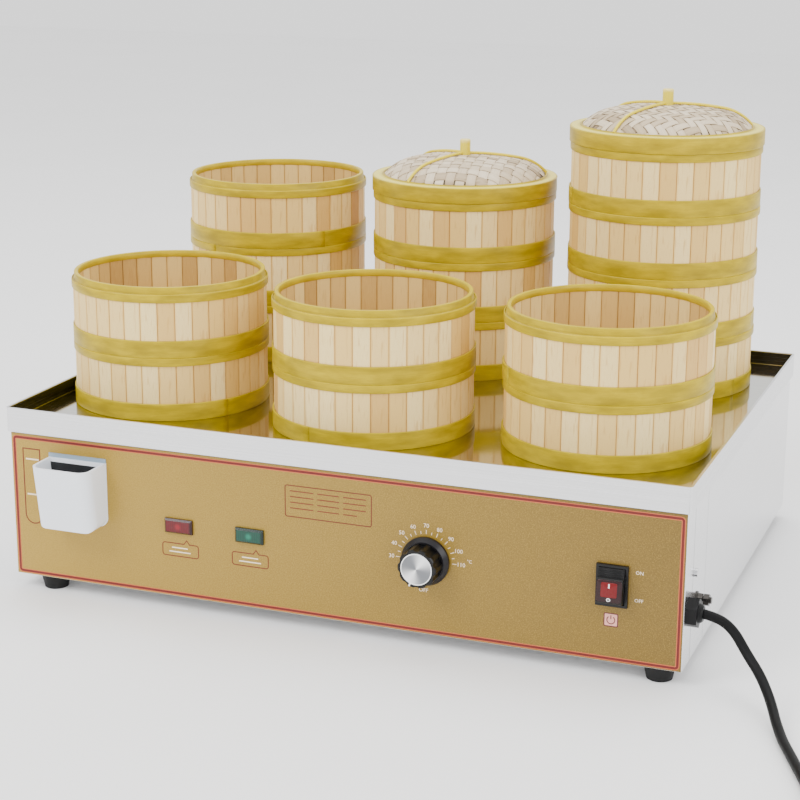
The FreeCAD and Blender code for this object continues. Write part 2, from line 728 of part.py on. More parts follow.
def facing_slab(x0, x1, y0, y1, z0, z1, corner):
    # a slab that faces the front, with its two low corners rounded
    slab = block(x0, x1, y0, y1, z0, z1)
    edges = []
    for edge in slab.Edges:
        low = edge.Vertexes[0].Point
        high = edge.Vertexes[-1].Point
        if abs(low.z - z0) + abs(high.z - z0) + abs(low.x - high.x) < 0.01:
            edges.append(edge)
    return slab.makeFillet(corner, edges)


def water_filler_cup():
    wall = -CASE_Y
    low = d_wire(CUP_LEFT, CUP_RIGHT, wall, wall - CUP_BOTTOM_REACH, CUP_BOTTOM, CUP_CORNER)
    high = d_wire(CUP_LEFT, CUP_RIGHT, wall, wall - CUP_TOP_REACH, CUP_TOP, CUP_CORNER)
    cup = Part.makeLoft([low, high], True, True)
    cup = cup.common(facing_slab(
        CUP_LEFT, CUP_RIGHT, wall - CUP_TOP_REACH - 1, wall, CUP_BOTTOM, CUP_TOP, CUP_LOW_CORNER,
    ))
    flange = facing_slab(
        CUP_FLANGE_LEFT, CUP_FLANGE_RIGHT, wall - CUP_FLANGE_THICK, wall,
        CUP_BOTTOM - CUP_FLANGE_EDGE, CUP_FLANGE_TOP, CUP_LOW_CORNER + CUP_FLANGE_EDGE,
    )
    cup = fused(cup, [flange])
    mouth = d_wire(*CUP_MOUTH, CUP_TOP + 0.5, CUP_MOUTH_CORNER)
    floor = d_wire(*CUP_FLOOR, CUP_BOTTOM + CUP_FLOOR_THICK, CUP_FLOOR_CORNER)
    pocket = Part.makeLoft([floor, mouth], True, True)
    start = (CUP_X, wall - CUP_PIPE_SOCKET, CUP_PIPE_Z)
    end = (CUP_X, TANK_FRONT + TANK_WALL + CUP_PIPE_PROUD, CUP_PIPE_Z)
    deep = (CUP_X, wall - CUP_PIPE_SOCKET - 5, CUP_PIPE_Z)
    cup = cup.cut([pocket, rod(CUP_PIPE_R, start, end), rod(CUP_PIPE_BORE, deep, start)])
    pipe = rod(CUP_PIPE_R, start, end).cut(rod(CUP_PIPE_BORE, start, end))
    return [cup, pipe]


# Drain valve with its ball and lever
def drain_valve():
    foot = (DRAIN_X, 0, DRAIN_Z)
    profile = (
        (DRAIN_BORE, TANK_BACK - 6), (DRAIN_THREAD_R, TANK_BACK - 6),
        (DRAIN_THREAD_R, CASE_Y), (DRAIN_BODY_R, CASE_Y),
        (DRAIN_BODY_R, DRAIN_BODY_BACK - 2), (DRAIN_BODY_R - 2, DRAIN_BODY_BACK), (9.0, DRAIN_BODY_BACK),
        (9.0, DRAIN_REACH), (DRAIN_BORE, DRAIN_REACH),
    )
    body = turned(profile, foot, (0, 1, 0))
    boss = rod(8.0, (DRAIN_X, DRAIN_AXIS_Y, DRAIN_Z + 10), (DRAIN_X, DRAIN_AXIS_Y, DRAIN_Z + 15))
    body = fused(body, [boss])
    middle = V(DRAIN_X, DRAIN_AXIS_Y, DRAIN_Z)
    cutters = [
        Part.makeSphere(BALL_R + BALL_GAP, middle),
        rod(STEM_R + RUNNING_GAP, (DRAIN_X, DRAIN_AXIS_Y, DRAIN_Z), (DRAIN_X, DRAIN_AXIS_Y, DRAIN_Z + 16)),
    ]
    body = body.cut(cutters)
    nut_end = TANK_BACK - TANK_WALL
    nut_start = nut_end - DRAIN_NUT_THICK
    nut = hexagon(DRAIN_NUT_ACROSS, (DRAIN_X, nut_start, DRAIN_Z), (DRAIN_X, nut_end, DRAIN_Z))
    thread = rod(DRAIN_THREAD_R, (DRAIN_X, nut_start - 1, DRAIN_Z), (DRAIN_X, nut_end + 1, DRAIN_Z))
    nut = nut.cut(thread)
    return [body, nut]


def drain_lever():
    x = DRAIN_X
    y = DRAIN_AXIS_Y
    ball = Part.makeSphere(BALL_R, V(x, y, DRAIN_Z))
    ball = ball.cut(rod(DRAIN_BORE, (x - 10, y, DRAIN_Z), (x + 10, y, DRAIN_Z)))
    stem = rod(STEM_R, (x, y, DRAIN_Z + 5.5), (x, y, DRAIN_Z + 17))
    plate = block(x - 8, x + 50, y - 6, y + 6, DRAIN_Z + 16, DRAIN_Z + 18.5)
    return fused(plate, [stem, ball])


# Cable gland and earth stud on the right side
def cable_gland():
    inner = CASE_X - SHEET
    foot = (0, GLAND_Y, GLAND_Z)
    collar_end = CASE_X + GLAND_COLLAR_THICK

    def along(x):
        return (x, GLAND_Y, GLAND_Z)

    profile = (
        (GLAND_SEAL_R, inner - 9), (GLAND_THREAD_R, inner - 9), (GLAND_THREAD_R, CASE_X + 1),
        (GLAND_BODY_R, CASE_X + 1), (GLAND_BODY_R, collar_end), (GLAND_BODY_R - 0.8, GLAND_REACH - 1.5),
        (GLAND_BODY_R - 2.2, GLAND_REACH), (GLAND_SEAL_R, GLAND_REACH),
    )
    body = turned(profile, foot, (1, 0, 0))
    collar = hexagon(GLAND_COLLAR_ACROSS, along(CASE_X), along(collar_end))
    body = fused(body, [collar.cut(rod(GLAND_BODY_R - 0.5, along(CASE_X - 1), along(collar_end + 1)))])
    seal = rod(GLAND_SEAL_R, along(inner - 9), along(GLAND_REACH))
    nut = hexagon(22.0, along(inner - 4), along(inner))
    nut = nut.cut(rod(GLAND_THREAD_R, along(inner - 5), along(inner + 1)))
    return [body, seal, nut]


def earth_stud():
    inner = CASE_X - SHEET - STRIP_THICK
    pieces = [rod(SPINDLE_R, (inner - 9, STUD_Y, STUD_Z), (STUD_REACH, STUD_Y, STUD_Z))]
    bore = rod(SPINDLE_R, (inner - 10, STUD_Y, STUD_Z), (STUD_REACH + 1, STUD_Y, STUD_Z))
    pieces.append(rod(7.0, (CASE_X, STUD_Y, STUD_Z), (CASE_X + 1.2, STUD_Y, STUD_Z)).cut(bore))
    for start, end in ((CASE_X + 1.2, CASE_X + 6.2), (CASE_X + 7.0, CASE_X + 12.0), (inner - 5, inner)):
        pieces.append(hexagon(10.0, (start, STUD_Y, STUD_Z), (end, STUD_Y, STUD_Z)).cut(bore))
    return pieces


# Mains lead: a tube on straight runs with tangent arcs, a two-layer coil and a plug
def rounded_route(points, label):
    points = [V(*p) for p in points]
    edges = []
    radii = []
    start = points[0]
    for i in range(1, len(points) - 1):
        before = points[i] - points[i - 1]
        after = points[i + 1] - points[i]
        reach = ARC_SHARE * min(before.Length, after.Length)
        half_turn = before.getAngle(after) / 2.0
        radii.append(reach / math.tan(half_turn))
        first = points[i] - before.normalize() * reach
        last = points[i] + after.normalize() * reach
        inward = (first + last) * 0.5 - points[i]
        depth = radii[-1] / math.cos(half_turn) - radii[-1]
        middle = points[i] + inward.normalize() * depth
        edges.append(Part.LineSegment(start, first).toShape())
        edges.append(Part.Arc(first, middle, last).toShape())
        start = last
    edges.append(Part.LineSegment(start, points[-1]).toShape())
    print(label, "arc radii:", ", ".join("%.0f" % r for r in radii))
    return Part.Wire(edges)


def swept_cord(path, start, heading, label):
    profile = Part.Wire(Part.makeCircle(CORD_R, start, heading))
    tube = path.makePipeShell([profile], True, False)
    plain = math.pi * CORD_R ** 2 * path.Length
    print(label, "length %.0f mm, volume ratio %.4f" % (path.Length, tube.Volume / plain))
    return tube


def half_turn_edges(start_x, end_x, start_z, end_z, side):
    # one half circle from start_x to end_x, passing on the side given as -1 or 1 in y
    middle = V((start_x + end_x) / 2.0, 0, (start_z + end_z) / 2.0)
    outward = V(start_x, 0, start_z) - middle
    across = V(0, side * outward.Length, 0)
    points = []
    for step in range(5):
        angle = math.radians(45 * step)
        local = middle + outward * math.cos(angle) + across * math.sin(angle)
        points.append(V(COIL_X + local.x, COIL_Y + local.y, local.z))
    return [Part.Arc(*points[0:3]).toShape(), Part.Arc(*points[2:5]).toShape()]


def coil_path():
    stops = [(x, COIL_LOW_Z) for x in COIL_LOW_STOPS] + [(x, COIL_HIGH_Z) for x in COIL_HIGH_STOPS]
    first = V(COIL_X + stops[0][0], COIL_Y, COIL_LOW_Z)
    last = V(COIL_X + stops[-1][0], COIL_Y, COIL_HIGH_Z)
    edges = [Part.LineSegment(first + V(0, COIL_END, 0), first).toShape()]
    side = -1
    for (x0, z0), (x1, z1) in zip(stops, stops[1:]):
        edges += half_turn_edges(x0, x1, z0, z1, side)
        side = -side
    edges.append(Part.LineSegment(last, last + V(0, COIL_END, 0)).toShape())
    return Part.Wire(edges)


def least_gap(path):
    # distance between turns, measured on points that lie over half a turn apart
    points = path.discretize(Distance=1.5)
    step = path.Length / (len(points) - 1)
    skip = int(math.pi * abs(COIL_LOW_STOPS[-1]) * 0.9 / step)
    gap = 1000.0
    for i in range(len(points)):
        for j in range(i + skip, len(points)):
            distance = points[i].distanceToPoint(points[j])
            if distance < gap:
                gap = distance
    return gap - 2 * CORD_R


def power_plug():
    x = COIL_X + COIL_HIGH_STOPS[-1]
    tail_start = COIL_Y + COIL_END
    face = tail_start + PLUG_TAIL
    z = COIL_HIGH_Z
    wide = PLUG_WIDE / 2
    high = PLUG_HIGH / 2
    body = block(x - wide, x + wide, face, face + PLUG_LONG, z - high, z + high)
    lengthways = [e for e in body.Edges if abs(e.Vertexes[0].Point.y - e.Vertexes[-1].Point.y) > 1]
    body = body.makeFillet(PLUG_CORNER, lengthways)
    tail_end = PLUG_TAIL + 1
    tail = turned(((0, 0), (5.5, 0), (8.5, tail_end), (0, tail_end)), (x, tail_start, z), (0, 1, 0))
    pieces = [fused(body, [tail])]
    front = face + PLUG_LONG
    for dx, dz, turn in ((-7.0, 4.0, 30.0), (7.0, 4.0, -30.0), (0.0, -7.0, 0.0)):
        pin = block(
            -PLUG_PIN_THICK / 2, PLUG_PIN_THICK / 2, 0, PLUG_PIN_LONG,
            -PLUG_PIN_WIDE / 2, PLUG_PIN_WIDE / 2,
        )
        pin.rotate(V(0, 0, 0), V(0, 1, 0), turn)
        pin.translate(V(x + dx, front, z + dz))
        pieces.append(pin)
    return pieces


# Baskets and lids, drawn at the origin and copied to their places
def basket_body():
    corners = []
    for step in range(STAVES):
        angle = 2 * math.pi * step / STAVES
        corners.append((STAVE_R * math.cos(angle), STAVE_R * math.sin(angle), 0))
    wall = polygon_face(corners).extrude(V(0, 0, PITCH))
    lip_top = PITCH + LIP_HIGH
    lip_profile = (
        (0, PITCH - 2), (LIP_R, PITCH - 2), (LIP_R, lip_top - 1), (LIP_R - 1, lip_top), (0, lip_top),
    )
    lip = turned(lip_profile, (0, 0, 0), (0, 0, 1))
    wall = fused(wall, [lip])
    wall = wall.cut([
        rod(SOCKET_R, (0, 0, -1), (0, 0, SOCKET_HIGH)),
        rod(BORE_R, (0, 0, SOCKET_HIGH - 1), (0, 0, lip_top + 1)),
    ])
    bars = []
    bar_half = GRATE_BAR_WIDE / 2
    for x in GRATE_BAR_X:
        bars.append(block(x - bar_half, x + bar_half, -BORE_R, BORE_R, SOCKET_HIGH, GRATE_BAR_TOP))
    slats = []
    count = int(BORE_R / SLAT_STEP)
    for step in range(-count, count + 1):
        y = step * SLAT_STEP
        slats.append(block(-BORE_R, BORE_R, y - SLAT_WIDE / 2, y + SLAT_WIDE / 2, GRATE_BAR_TOP, GRATE_TOP))
    grate = fused(bars[0], bars[1:] + slats)
    grate = grate.common(rod(BORE_R, (0, 0, 0), (0, 0, PITCH)))
    return [wall, grate]


def basket_hoops():
    hoops = []
    for low, high in ((0.0, LOW_HOOP_TOP), (HIGH_HOOP_BOTTOM, PITCH)):
        profile = ((HOOP_IN, low), (HOOP_OUT, low), (HOOP_OUT, high), (HOOP_IN, high))
        hoops.append(turned(profile, (0, 0, 0), (0, 0, 1)))
    return hoops


def lid_ring():
    profile = (
        (SOCKET_R, 0), (LID_RING_R, 0), (LID_RING_R, LID_RING_HIGH - 1), (LID_RING_R - 1, LID_RING_HIGH),
        (LID_RING_IN, LID_RING_HIGH), (LID_RING_IN, LID_SOCKET_HIGH), (SOCKET_R, LID_SOCKET_HIGH),
    )
    return turned(profile, (0, 0, 0), (0, 0, 1))


def dome_arcs(offset):
    # the crown's section at a distance from its outer face: apex, cap end, shoulder middle, edge
    apex = LID_RING_HIGH + DOME_RISE
    cap_z = apex - DOME_CAP_DROP
    cap_radius = (DOME_CAP_R ** 2 + DOME_CAP_DROP ** 2) / (2 * DOME_CAP_DROP)
    cap_slope = math.asin(DOME_CAP_R / cap_radius)
    chord_slope = math.atan2(cap_z - LID_RING_HIGH, LID_RING_IN - DOME_CAP_R)
    edge_slope = 2 * chord_slope - cap_slope
    half_r = DOME_CAP_R / 2
    half_z = apex - cap_radius + math.sqrt(cap_radius ** 2 - half_r ** 2)
    spots = []
    for r, z, slope, bulge in (
        (0.0, apex, 0.0, 0.0),
        (half_r, half_z, cap_slope / 2, 0.0),
        (DOME_CAP_R, cap_z, cap_slope, 0.0),
        ((DOME_CAP_R + LID_RING_IN) / 2, (cap_z + LID_RING_HIGH) / 2, chord_slope, DOME_BULGE),
        (LID_RING_IN, LID_RING_HIGH, edge_slope, 0.0),
    ):
        out = offset + bulge
        spots.append((r + out * math.sin(slope), z + out * math.cos(slope)))
    return spots


def lid_dome():
    outer = [V(r, 0, z) for r, z in dome_arcs(0.0)]
    inner = [V(r, 0, z) for r, z in dome_arcs(-DOME_THICK)]
    inner[0] = V(0, 0, inner[0].z)
    low_out = V(LID_RING_IN, 0, LID_SOCKET_HIGH)
    low_in = V(LID_RING_IN - DOME_THICK, 0, LID_SOCKET_HIGH)
    bend = V(LID_RING_IN - DOME_THICK, 0, inner[4].z - 1)
    edges = [
        Part.Arc(outer[0], outer[1], outer[2]).toShape(),
        Part.Arc(outer[2], outer[3], outer[4]).toShape(),
        Part.LineSegment(outer[4], low_out).toShape(),
        Part.LineSegment(low_out, low_in).toShape(),
        Part.LineSegment(low_in, bend).toShape(),
        Part.LineSegment(bend, inner[4]).toShape(),
        Part.Arc(inner[4], inner[3], inner[2]).toShape(),
        Part.Arc(inner[2], inner[1], inner[0]).toShape(),
        Part.LineSegment(inner[0], outer[0]).toShape(),
    ]
    dome = Part.Face(Part.Wire(edges)).revolve(V(0, 0, 0), V(0, 0, 1), 360)
    return dome.cut(rod(KNOB_STICK_R + 0.1, (0, 0, 20), (0, 0, 50)))


def lid_handle():
    stick = turned(
        ((0, KNOB_STICK_BOTTOM), (KNOB_STICK_R, KNOB_STICK_BOTTOM), (KNOB_STICK_R, KNOB_STICK_TOP - 1),
         (KNOB_STICK_R - 1, KNOB_STICK_TOP), (0, KNOB_STICK_TOP)),
        (0, 0, 0), (0, 0, 1),
    )
    ribs = []
    for angle in RIB_ANGLES:
        spots = [V(r, 0, z) for r, z in dome_arcs(RIB_R + RIB_GAP)]
        edges = [
            Part.Arc(spots[0], spots[1], spots[2]).toShape(),
            Part.Arc(spots[2], spots[3], spots[4]).toShape(),
        ]
        profile = Part.Wire(Part.makeCircle(RIB_R, spots[0], V(1, 0, 0)))
        rib = Part.Wire(edges).makePipeShell([profile], True, False)
        rib.rotate(V(0, 0, 0), V(0, 0, 1), angle)
        ribs.append(rib)
    return fused(stick, ribs)


def placed(pieces, x, y, z):
    copies = []
    for piece in pieces:
        copy = piece.copy()
        copy.translate(V(x, y, z))
        copies.append(copy)
    return copies


# Write every piece
save("bottom_pan", [bottom_pan()])
save("rear_casing", [rear_casing()])
save("front_panel", [front_panel()])
save("front_overlay", [front_overlay()])
save("top_tray", top_tray())
save("rubber_feet", rubber_feet())
save("casing_screws", casing_screws())
save("water_tank", water_tank())
save("heating_element", heating_element())
save("thermostat", [thermostat()])
save("control_knob", control_knob())
save("indicator_lamps", indicator_lamps())
save("switch_body", [switch_body()])
save("switch_rocker", [switch_rocker()])
save("water_filler_cup", water_filler_cup())
save("drain_valve", drain_valve())
save("drain_lever", [drain_lever()])
save("cable_gland", cable_gland())
save("earth_stud", earth_stud())

route = rounded_route(CORD_ROUTE, "power cord")
save("power_cord", [swept_cord(route, V(*CORD_ROUTE[0]), V(1, 0, 0), "power cord")])
coil = coil_path()
coil_start = V(COIL_X + COIL_LOW_STOPS[0], COIL_Y + COIL_END, COIL_LOW_Z)
save("power_cord_coil", [swept_cord(coil, coil_start, V(0, -1, 0), "coil")])
print("coil least gap to itself: %.2f mm" % least_gap(coil))
save("power_plug", power_plug())

body_pieces = basket_body()
hoop_pieces = basket_hoops()
ring = lid_ring()
dome = lid_dome()
handle = lid_handle()
for place, stack_x, stack_y, tiers in STACKS:
    for tier in range(tiers):
        level = DECK_TOP + tier * PITCH
        name = "basket_%s_%d" % (place, tier + 1)
        save(name + "_body", placed(body_pieces, stack_x, stack_y, level))
        save(name + "_hoops", placed(hoop_pieces, stack_x, stack_y, level))
    if place in LIDDED:
        level = DECK_TOP + tiers * PITCH
        save("lid_%s_ring" % place, placed([ring], stack_x, stack_y, level))
        save("lid_%s_dome" % place, placed([dome], stack_x, stack_y, level))
        save("lid_%s_handle" % place, placed([handle], stack_x, stack_y, level))
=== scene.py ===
import math

import bpy
import numpy as np
from mathutils import Matrix, Vector


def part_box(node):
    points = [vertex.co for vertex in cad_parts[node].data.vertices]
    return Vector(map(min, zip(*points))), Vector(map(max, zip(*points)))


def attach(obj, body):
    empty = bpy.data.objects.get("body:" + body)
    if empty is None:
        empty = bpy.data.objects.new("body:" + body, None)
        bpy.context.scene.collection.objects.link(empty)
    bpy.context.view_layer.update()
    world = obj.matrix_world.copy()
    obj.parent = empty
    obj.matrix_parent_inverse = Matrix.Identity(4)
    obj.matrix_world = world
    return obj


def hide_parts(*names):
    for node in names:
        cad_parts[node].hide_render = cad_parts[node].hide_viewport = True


bl_info = {
    "name": "Basket Steamer Looks",
    "version": (1, 0, 0),
    "blender": (4, 5, 0),
    "location": "View3D > Sidebar > Steamer",
    "description": "Dresses the frame of a countertop basket steamer with its visible surfaces",
    "category": "Object",
}

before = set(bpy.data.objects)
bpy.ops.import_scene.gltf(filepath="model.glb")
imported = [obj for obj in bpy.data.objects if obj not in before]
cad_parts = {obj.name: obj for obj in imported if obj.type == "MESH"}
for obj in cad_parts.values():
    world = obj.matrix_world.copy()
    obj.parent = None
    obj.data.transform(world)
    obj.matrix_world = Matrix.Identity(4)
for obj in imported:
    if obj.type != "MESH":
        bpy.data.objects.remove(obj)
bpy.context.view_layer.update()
MM = 0.001


# Places that come from the frame, in metres
def span(node):
    low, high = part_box(node)
    return np.array(low), np.array(high)


PANEL_LOW, PANEL_HIGH = span("front_overlay")
CASE_MID_X = (PANEL_LOW[0] + PANEL_HIGH[0]) / 2
CASE_LOW, CASE_HIGH = span("rear_casing")
TRAY_LOW, TRAY_HIGH = span("top_tray")
CUP_LOW, CUP_HIGH = span("water_filler_cup")
KNOB_LOW, KNOB_HIGH = span("control_knob")
KNOB_CENTRE = (KNOB_LOW + KNOB_HIGH) / 2
LAMPS_LOW, LAMPS_HIGH = span("indicator_lamps")
SWITCH_LOW, SWITCH_HIGH = span("switch_body")
# The CAD source draws about the casing's middle, and this moves its coordinates to the frame's
HALF_DEPTH = 252.0
CASE_MIDDLE = np.array([CASE_MID_X, CASE_HIGH[1] - HALF_DEPTH * MM, 0.0])

# Tray's rim: its thickness, and the heights between which its inside carries a painted dark reflection
RIM_THICK = 2.45
RIM_PAINTED_REFLECTION = (173.4, 186.5)
# Filler cup: where the flange's band starts, and where painted shade darkens the pocket's back wall
CUP_BAND_FROM = 141.6
CUP_SHADE_HEIGHTS = (79.0, 137.7)
CUP_SHADE_HALF = 29.8
# Knob: its place on the front, its metal cap, where the painted highlight ring at the cap's edge
# starts, and how far its skirt reaches out
KNOB_AT = (98.5, 86.8)
KNOB_CAP_R = 15.05
KNOB_HIGHLIGHT_RING_R = 14.2
KNOB_SKIRT = 21.3
# Lenses: how far each one's middle stands in from the pair's end, and where its edge darkens
LENS_IN = 14.6
LENS_EDGE = (12.6, 5.4)
# Rocker: its tilt at rest, and the foot and slope of its lower face
ROCKER_TILT = -12.0
FACE_FOOT = (-14.6, -10.5)
FACE_SLOPE = 0.0817
# Lid's stick: how far over the ring its lacquer is worn
WORN_FROM = 37.5

# Prints: how thick they lie, then boxes as left, right, bottom, top and corner
PRINT_HIGH = 0.12
BORDER = (-336.2, 336.2, 17.4, 157.4, 2.4)
NOTE_BOX = (-42.9, 44.3, 112.1, 142.8, 2.0)
POWER_BOX = (268.2, 280.7, 48.5, 60.6, 1.2)
POWER_AT = (274.4, 54.4)
# Two boxes with a pointer on top: left, right and the pointer's place
CALLOUTS = ((-174.1, -135.5, -148.0), (-99.3, -61.4, -74.1))
CALLOUT_UP = (56.0, 69.0, 73.0)
# Level marks beside the filler cup: left arm, right arm, top, and the bend's middle height
GAUGE = (-326.8, -308.0, 146.6, 78.6)

# Camera, in millimetres and degrees about the casing's middle
CAMERA_AT = (663.7, -1791.3, 694.5)
CAMERA_AZIMUTH = 21.021
CAMERA_ELEVATION = 15.505
CAMERA_ROLL = 0.243
CAMERA_LENS = 85.31

# Mains lead: the route's points, as the CAD source has them
CORD_DIAMETER = 9.0
CORD_ROUTE = (
    (354.0, -234.5, 65.5), (365.8, -235.4, 64.0), (376.7, -238.2, 59.7),
    (385.5, -242.5, 52.9), (392.7, -247.8, 44.8), (400.1, -253.8, 37.7),
    (407.8, -260.7, 31.5), (414.5, -268.7, 25.7), (420.3, -277.8, 20.3),
    (425.5, -287.5, 15.6), (430.0, -297.9, 11.7), (434.0, -309.0, 8.8),
    (438.5, -320.0, 6.5), (444.0, -334.0, 4.7), (452.5, -353.5, 4.5),
    (487.8, -434.5, 4.5), (491.0, -448.1, 4.5), (492.5, -460.0, 4.5),
    (492.5, -468.0, 4.5),
)
COIL_AT = (554.0, -480.0)
COIL_STOPS = (
    (-61.5, 4.5), (56.5, 4.5), (-51.5, 4.5), (45.0, 4.5),
    (-45.0, 14.0), (51.0, 14.0), (-56.0, 14.0), (61.0, 14.0),
)
COIL_POINTS = 8
COIL_END = 12.0
# Clip round the coil's strands on its left: its path over them, then its width and thickness
CLIP_PATH = (
    (-66.8, 0.5), (-66.8, 7.0), (-62.2, 16.6), (-60.0, 19.1), (-42.0, 19.1), (-39.9, 17.0),
    (-39.9, 11.0), (-45.8, 2.6), (-46.8, 0.5),
)
CLIP_WIDE = 12.0
CLIP_THICK = 0.9

# Basket section, in millimetres from its seat
STAVES = 36
STAVE_R = 98.25
STAVE_IN_R = 93.3
STAVE_GROOVE = 0.8
SOCKET_R = 97.2
SOCKET_HIGH = 8.0
PITCH = 63.6
LIP_R = 96.6
LIP_TOP = 70.6
LIP_BAND = 6.5
HOOP_R = 100.0
HOOP_IN_R = 98.4
LOW_HOOP = (0.0, 17.4)
HIGH_HOOP = (55.4, 63.6)
# Lid section
LID_R = 101.0
LID_IN_R = 88.5
LID_HIGH = 16.3
LID_SOCKET = 7.6
WEAVE_R = 88.2
DOME_TOP = 38.3
CAP_R = 320.3
CAP_EDGE = 60.0
SHOULDER_R = 50.4

# Grate
GRATE_BARS = (8.0, 11.0)
GRATE_SLATS = (11.0, 13.0)
SLAT_WIDE = 14.0
SLAT_STEP = 18.0
BAR_STEP = 50.0


def light(red, green, blue):
    """A colour given in 0 to 255 display steps, as Blender's linear colour."""
    steps = np.array([red, green, blue]) / 255.0
    linear = np.where(steps <= 0.04045, steps / 12.92, ((steps + 0.055) / 1.055) ** 2.4)
    return tuple(float(c) for c in linear) + (1.0,)


def dimmed(colour, share):
    """A linear colour multiplied by share."""
    return tuple(c * share for c in colour[:3]) + (1.0,)


def grey(level, blue=0.0):
    """A linear grey, with a little more blue where asked."""
    return (level, level, level + blue, 1)


# Shader values and finishes
class Value:
    """A socket in a finish's node tree; arithmetic on it adds Math nodes."""

    def __init__(self, finish, socket):
        self.finish = finish
        self.socket = socket

    def math(self, operation, *others):
        return self.finish.node("ShaderNodeMath", {"operation": operation}, (self,) + others)

    def __add__(self, other):
        return self.math("ADD", other)

    def __mul__(self, other):
        return self.math("MULTIPLY", other)

    def __sub__(self, other):
        return self.math("SUBTRACT", other)

    def __rsub__(self, other):
        return self.finish.node("ShaderNodeMath", {"operation": "SUBTRACT"}, (other, self))

    def above(self, edge, soft=0.0):
        """Nought below edge and one above it, with a ramp as wide as soft."""
        if soft == 0.0:
            return self.math("GREATER_THAN", edge)
        settings = {"interpolation_type": "SMOOTHSTEP"}
        return self.finish.node("ShaderNodeMapRange", settings, {
            "Value": self, "From Min": edge - soft / 2, "From Max": edge + soft / 2,
        })

    def below(self, edge, soft=0.0):
        """One below edge and nought above it."""
        return 1.0 - self.above(edge, soft)


class Finish:
    """A procedural material built on one Principled shader."""

    def __init__(self, name, **plain):
        self.material = bpy.data.materials.new(name)
        self.material.use_nodes = True
        self.tree = self.material.node_tree
        self.shader = self.tree.nodes["Principled BSDF"]
        for socket, value in plain.items():
            self.shader.inputs[socket.replace("_", " ")].default_value = value

    def node(self, kind, settings=None, inputs=(), output=0):
        """Adds a node: its settings first, then its inputs, given in order or by name."""
        made = self.tree.nodes.new(kind)
        for key, value in (settings or {}).items():
            if key == "stops":
                self.ramp_stops(made.color_ramp, value)
            else:
                setattr(made, key, value)
        pairs = inputs.items() if isinstance(inputs, dict) else enumerate(inputs)
        for key, value in pairs:
            if isinstance(value, Value):
                self.tree.links.new(value.socket, made.inputs[key])
            else:
                made.inputs[key].default_value = value
        return Value(self, made.outputs[output])

    @staticmethod
    def ramp_stops(ramp, stops):
        while len(ramp.elements) < len(stops):
            ramp.elements.new(0.5)
        for element, (place, colour) in zip(ramp.elements, stops):
            element.position = place
            element.color = colour

    def place(self):
        """The point on the piece, in metres in the frame."""
        return self.node("ShaderNodeTexCoord", None, (), "Object")

    def axes(self, vector):
        split = self.tree.nodes.new("ShaderNodeSeparateXYZ")
        self.tree.links.new(vector.socket, split.inputs[0])
        return [Value(self, split.outputs[i]) for i in range(3)]

    def stretched(self, vector, scale, centre=(0, 0, 0)):
        """The vector moved to centre and multiplied, axis by axis."""
        moved = tuple(-c * s for c, s in zip(centre, scale))
        inputs = {"Vector": vector, "Location": moved, "Scale": scale}
        return self.node("ShaderNodeMapping", None, inputs)

    def noise(self, vector, scale, detail=3.0, roughness=0.5):
        return self.node("ShaderNodeTexNoise", None, {
            "Vector": vector, "Scale": scale, "Detail": detail, "Roughness": roughness,
        }, "Fac")

    def attribute(self, name):
        return self.node("ShaderNodeAttribute", {"attribute_name": name}, (), "Fac")

    def own_uv(self):
        return self.node("ShaderNodeUVMap", {"uv_map": "across_along"})

    def ramp(self, value, *stops):
        return self.node("ShaderNodeValToRGB", {"stops": stops}, {"Fac": value}, "Color")

    def between(self, factor, first, second):
        """The first number where factor is nought, the second where it is one."""
        inputs = {0: factor, 2: first, 3: second}
        return self.node("ShaderNodeMix", {"data_type": "FLOAT"}, inputs)

    def mix(self, factor, first, second):
        """The first colour where factor is nought, the second where it is one."""
        inputs = {0: factor, 6: first, 7: second}
        return self.node("ShaderNodeMix", {"data_type": "RGBA"}, inputs, 2)

    def layered(self, base, *layers):
        """Colours laid over the base in turn, each by its factor."""
        for factor, colour in layers:
            base = self.mix(factor, base, colour)
        return base

    def done(self, base, roughness, height=None, depth=0.0, strength=0.5, **more):
        """Links the colour, the roughness and a bump of depth metres, and gives the material."""
        links = {"Base Color": base, "Roughness": roughness, **more}
        if height is not None:
            bump = {"Strength": strength, "Distance": depth, "Height": height}
            links["Normal"] = self.node("ShaderNodeBump", None, bump)
        for socket, value in links.items():
            self.tree.links.new(value.socket, self.shader.inputs[socket])
        return self.material


# Finishes of this steamer's surfaces
def sheet_steel(name, grain, roughness, brightness, seam=None):
    """Brushed stainless sheet: drawn lines across the grain's steepest axis, and painted shade along a
    seam.
    """
    finish = Finish(name, Metallic=1.0)
    at = finish.place()
    lines = finish.noise(finish.stretched(at, grain), 1.0, 4.0)
    cloud = finish.noise(at, 9.0, 2.0)
    dark, bright = (grey(brightness * share, brightness * 0.01) for share in (0.93, 1.04))
    base = finish.ramp(lines, (0.3, dark), (0.7, bright))
    if seam is not None:
        # Painted shade: a near-black line blended in along the seam, standing in for the shade in the
        # gap between parts.
        off = (finish.axes(at)[1] - seam).math("ABSOLUTE")
        base = finish.mix(off.below(0.6 * MM, 0.6 * MM) * 0.85, base, grey(0.03))
    return finish.done(base, lines * 0.10 + cloud * 0.06 + (roughness - 0.08), lines, 0.00002)


def plain_metal(name, colour, roughness):
    """Turned or pressed metal with a little unevenness."""
    finish = Finish(name, Metallic=1.0)
    cloud = finish.noise(finish.place(), 160.0, 3.0)
    base = finish.ramp(cloud, (0.3, dimmed(colour, 0.86)), (0.7, colour))
    return finish.done(base, cloud * 0.14 + (roughness - 0.07), cloud, 0.00003)


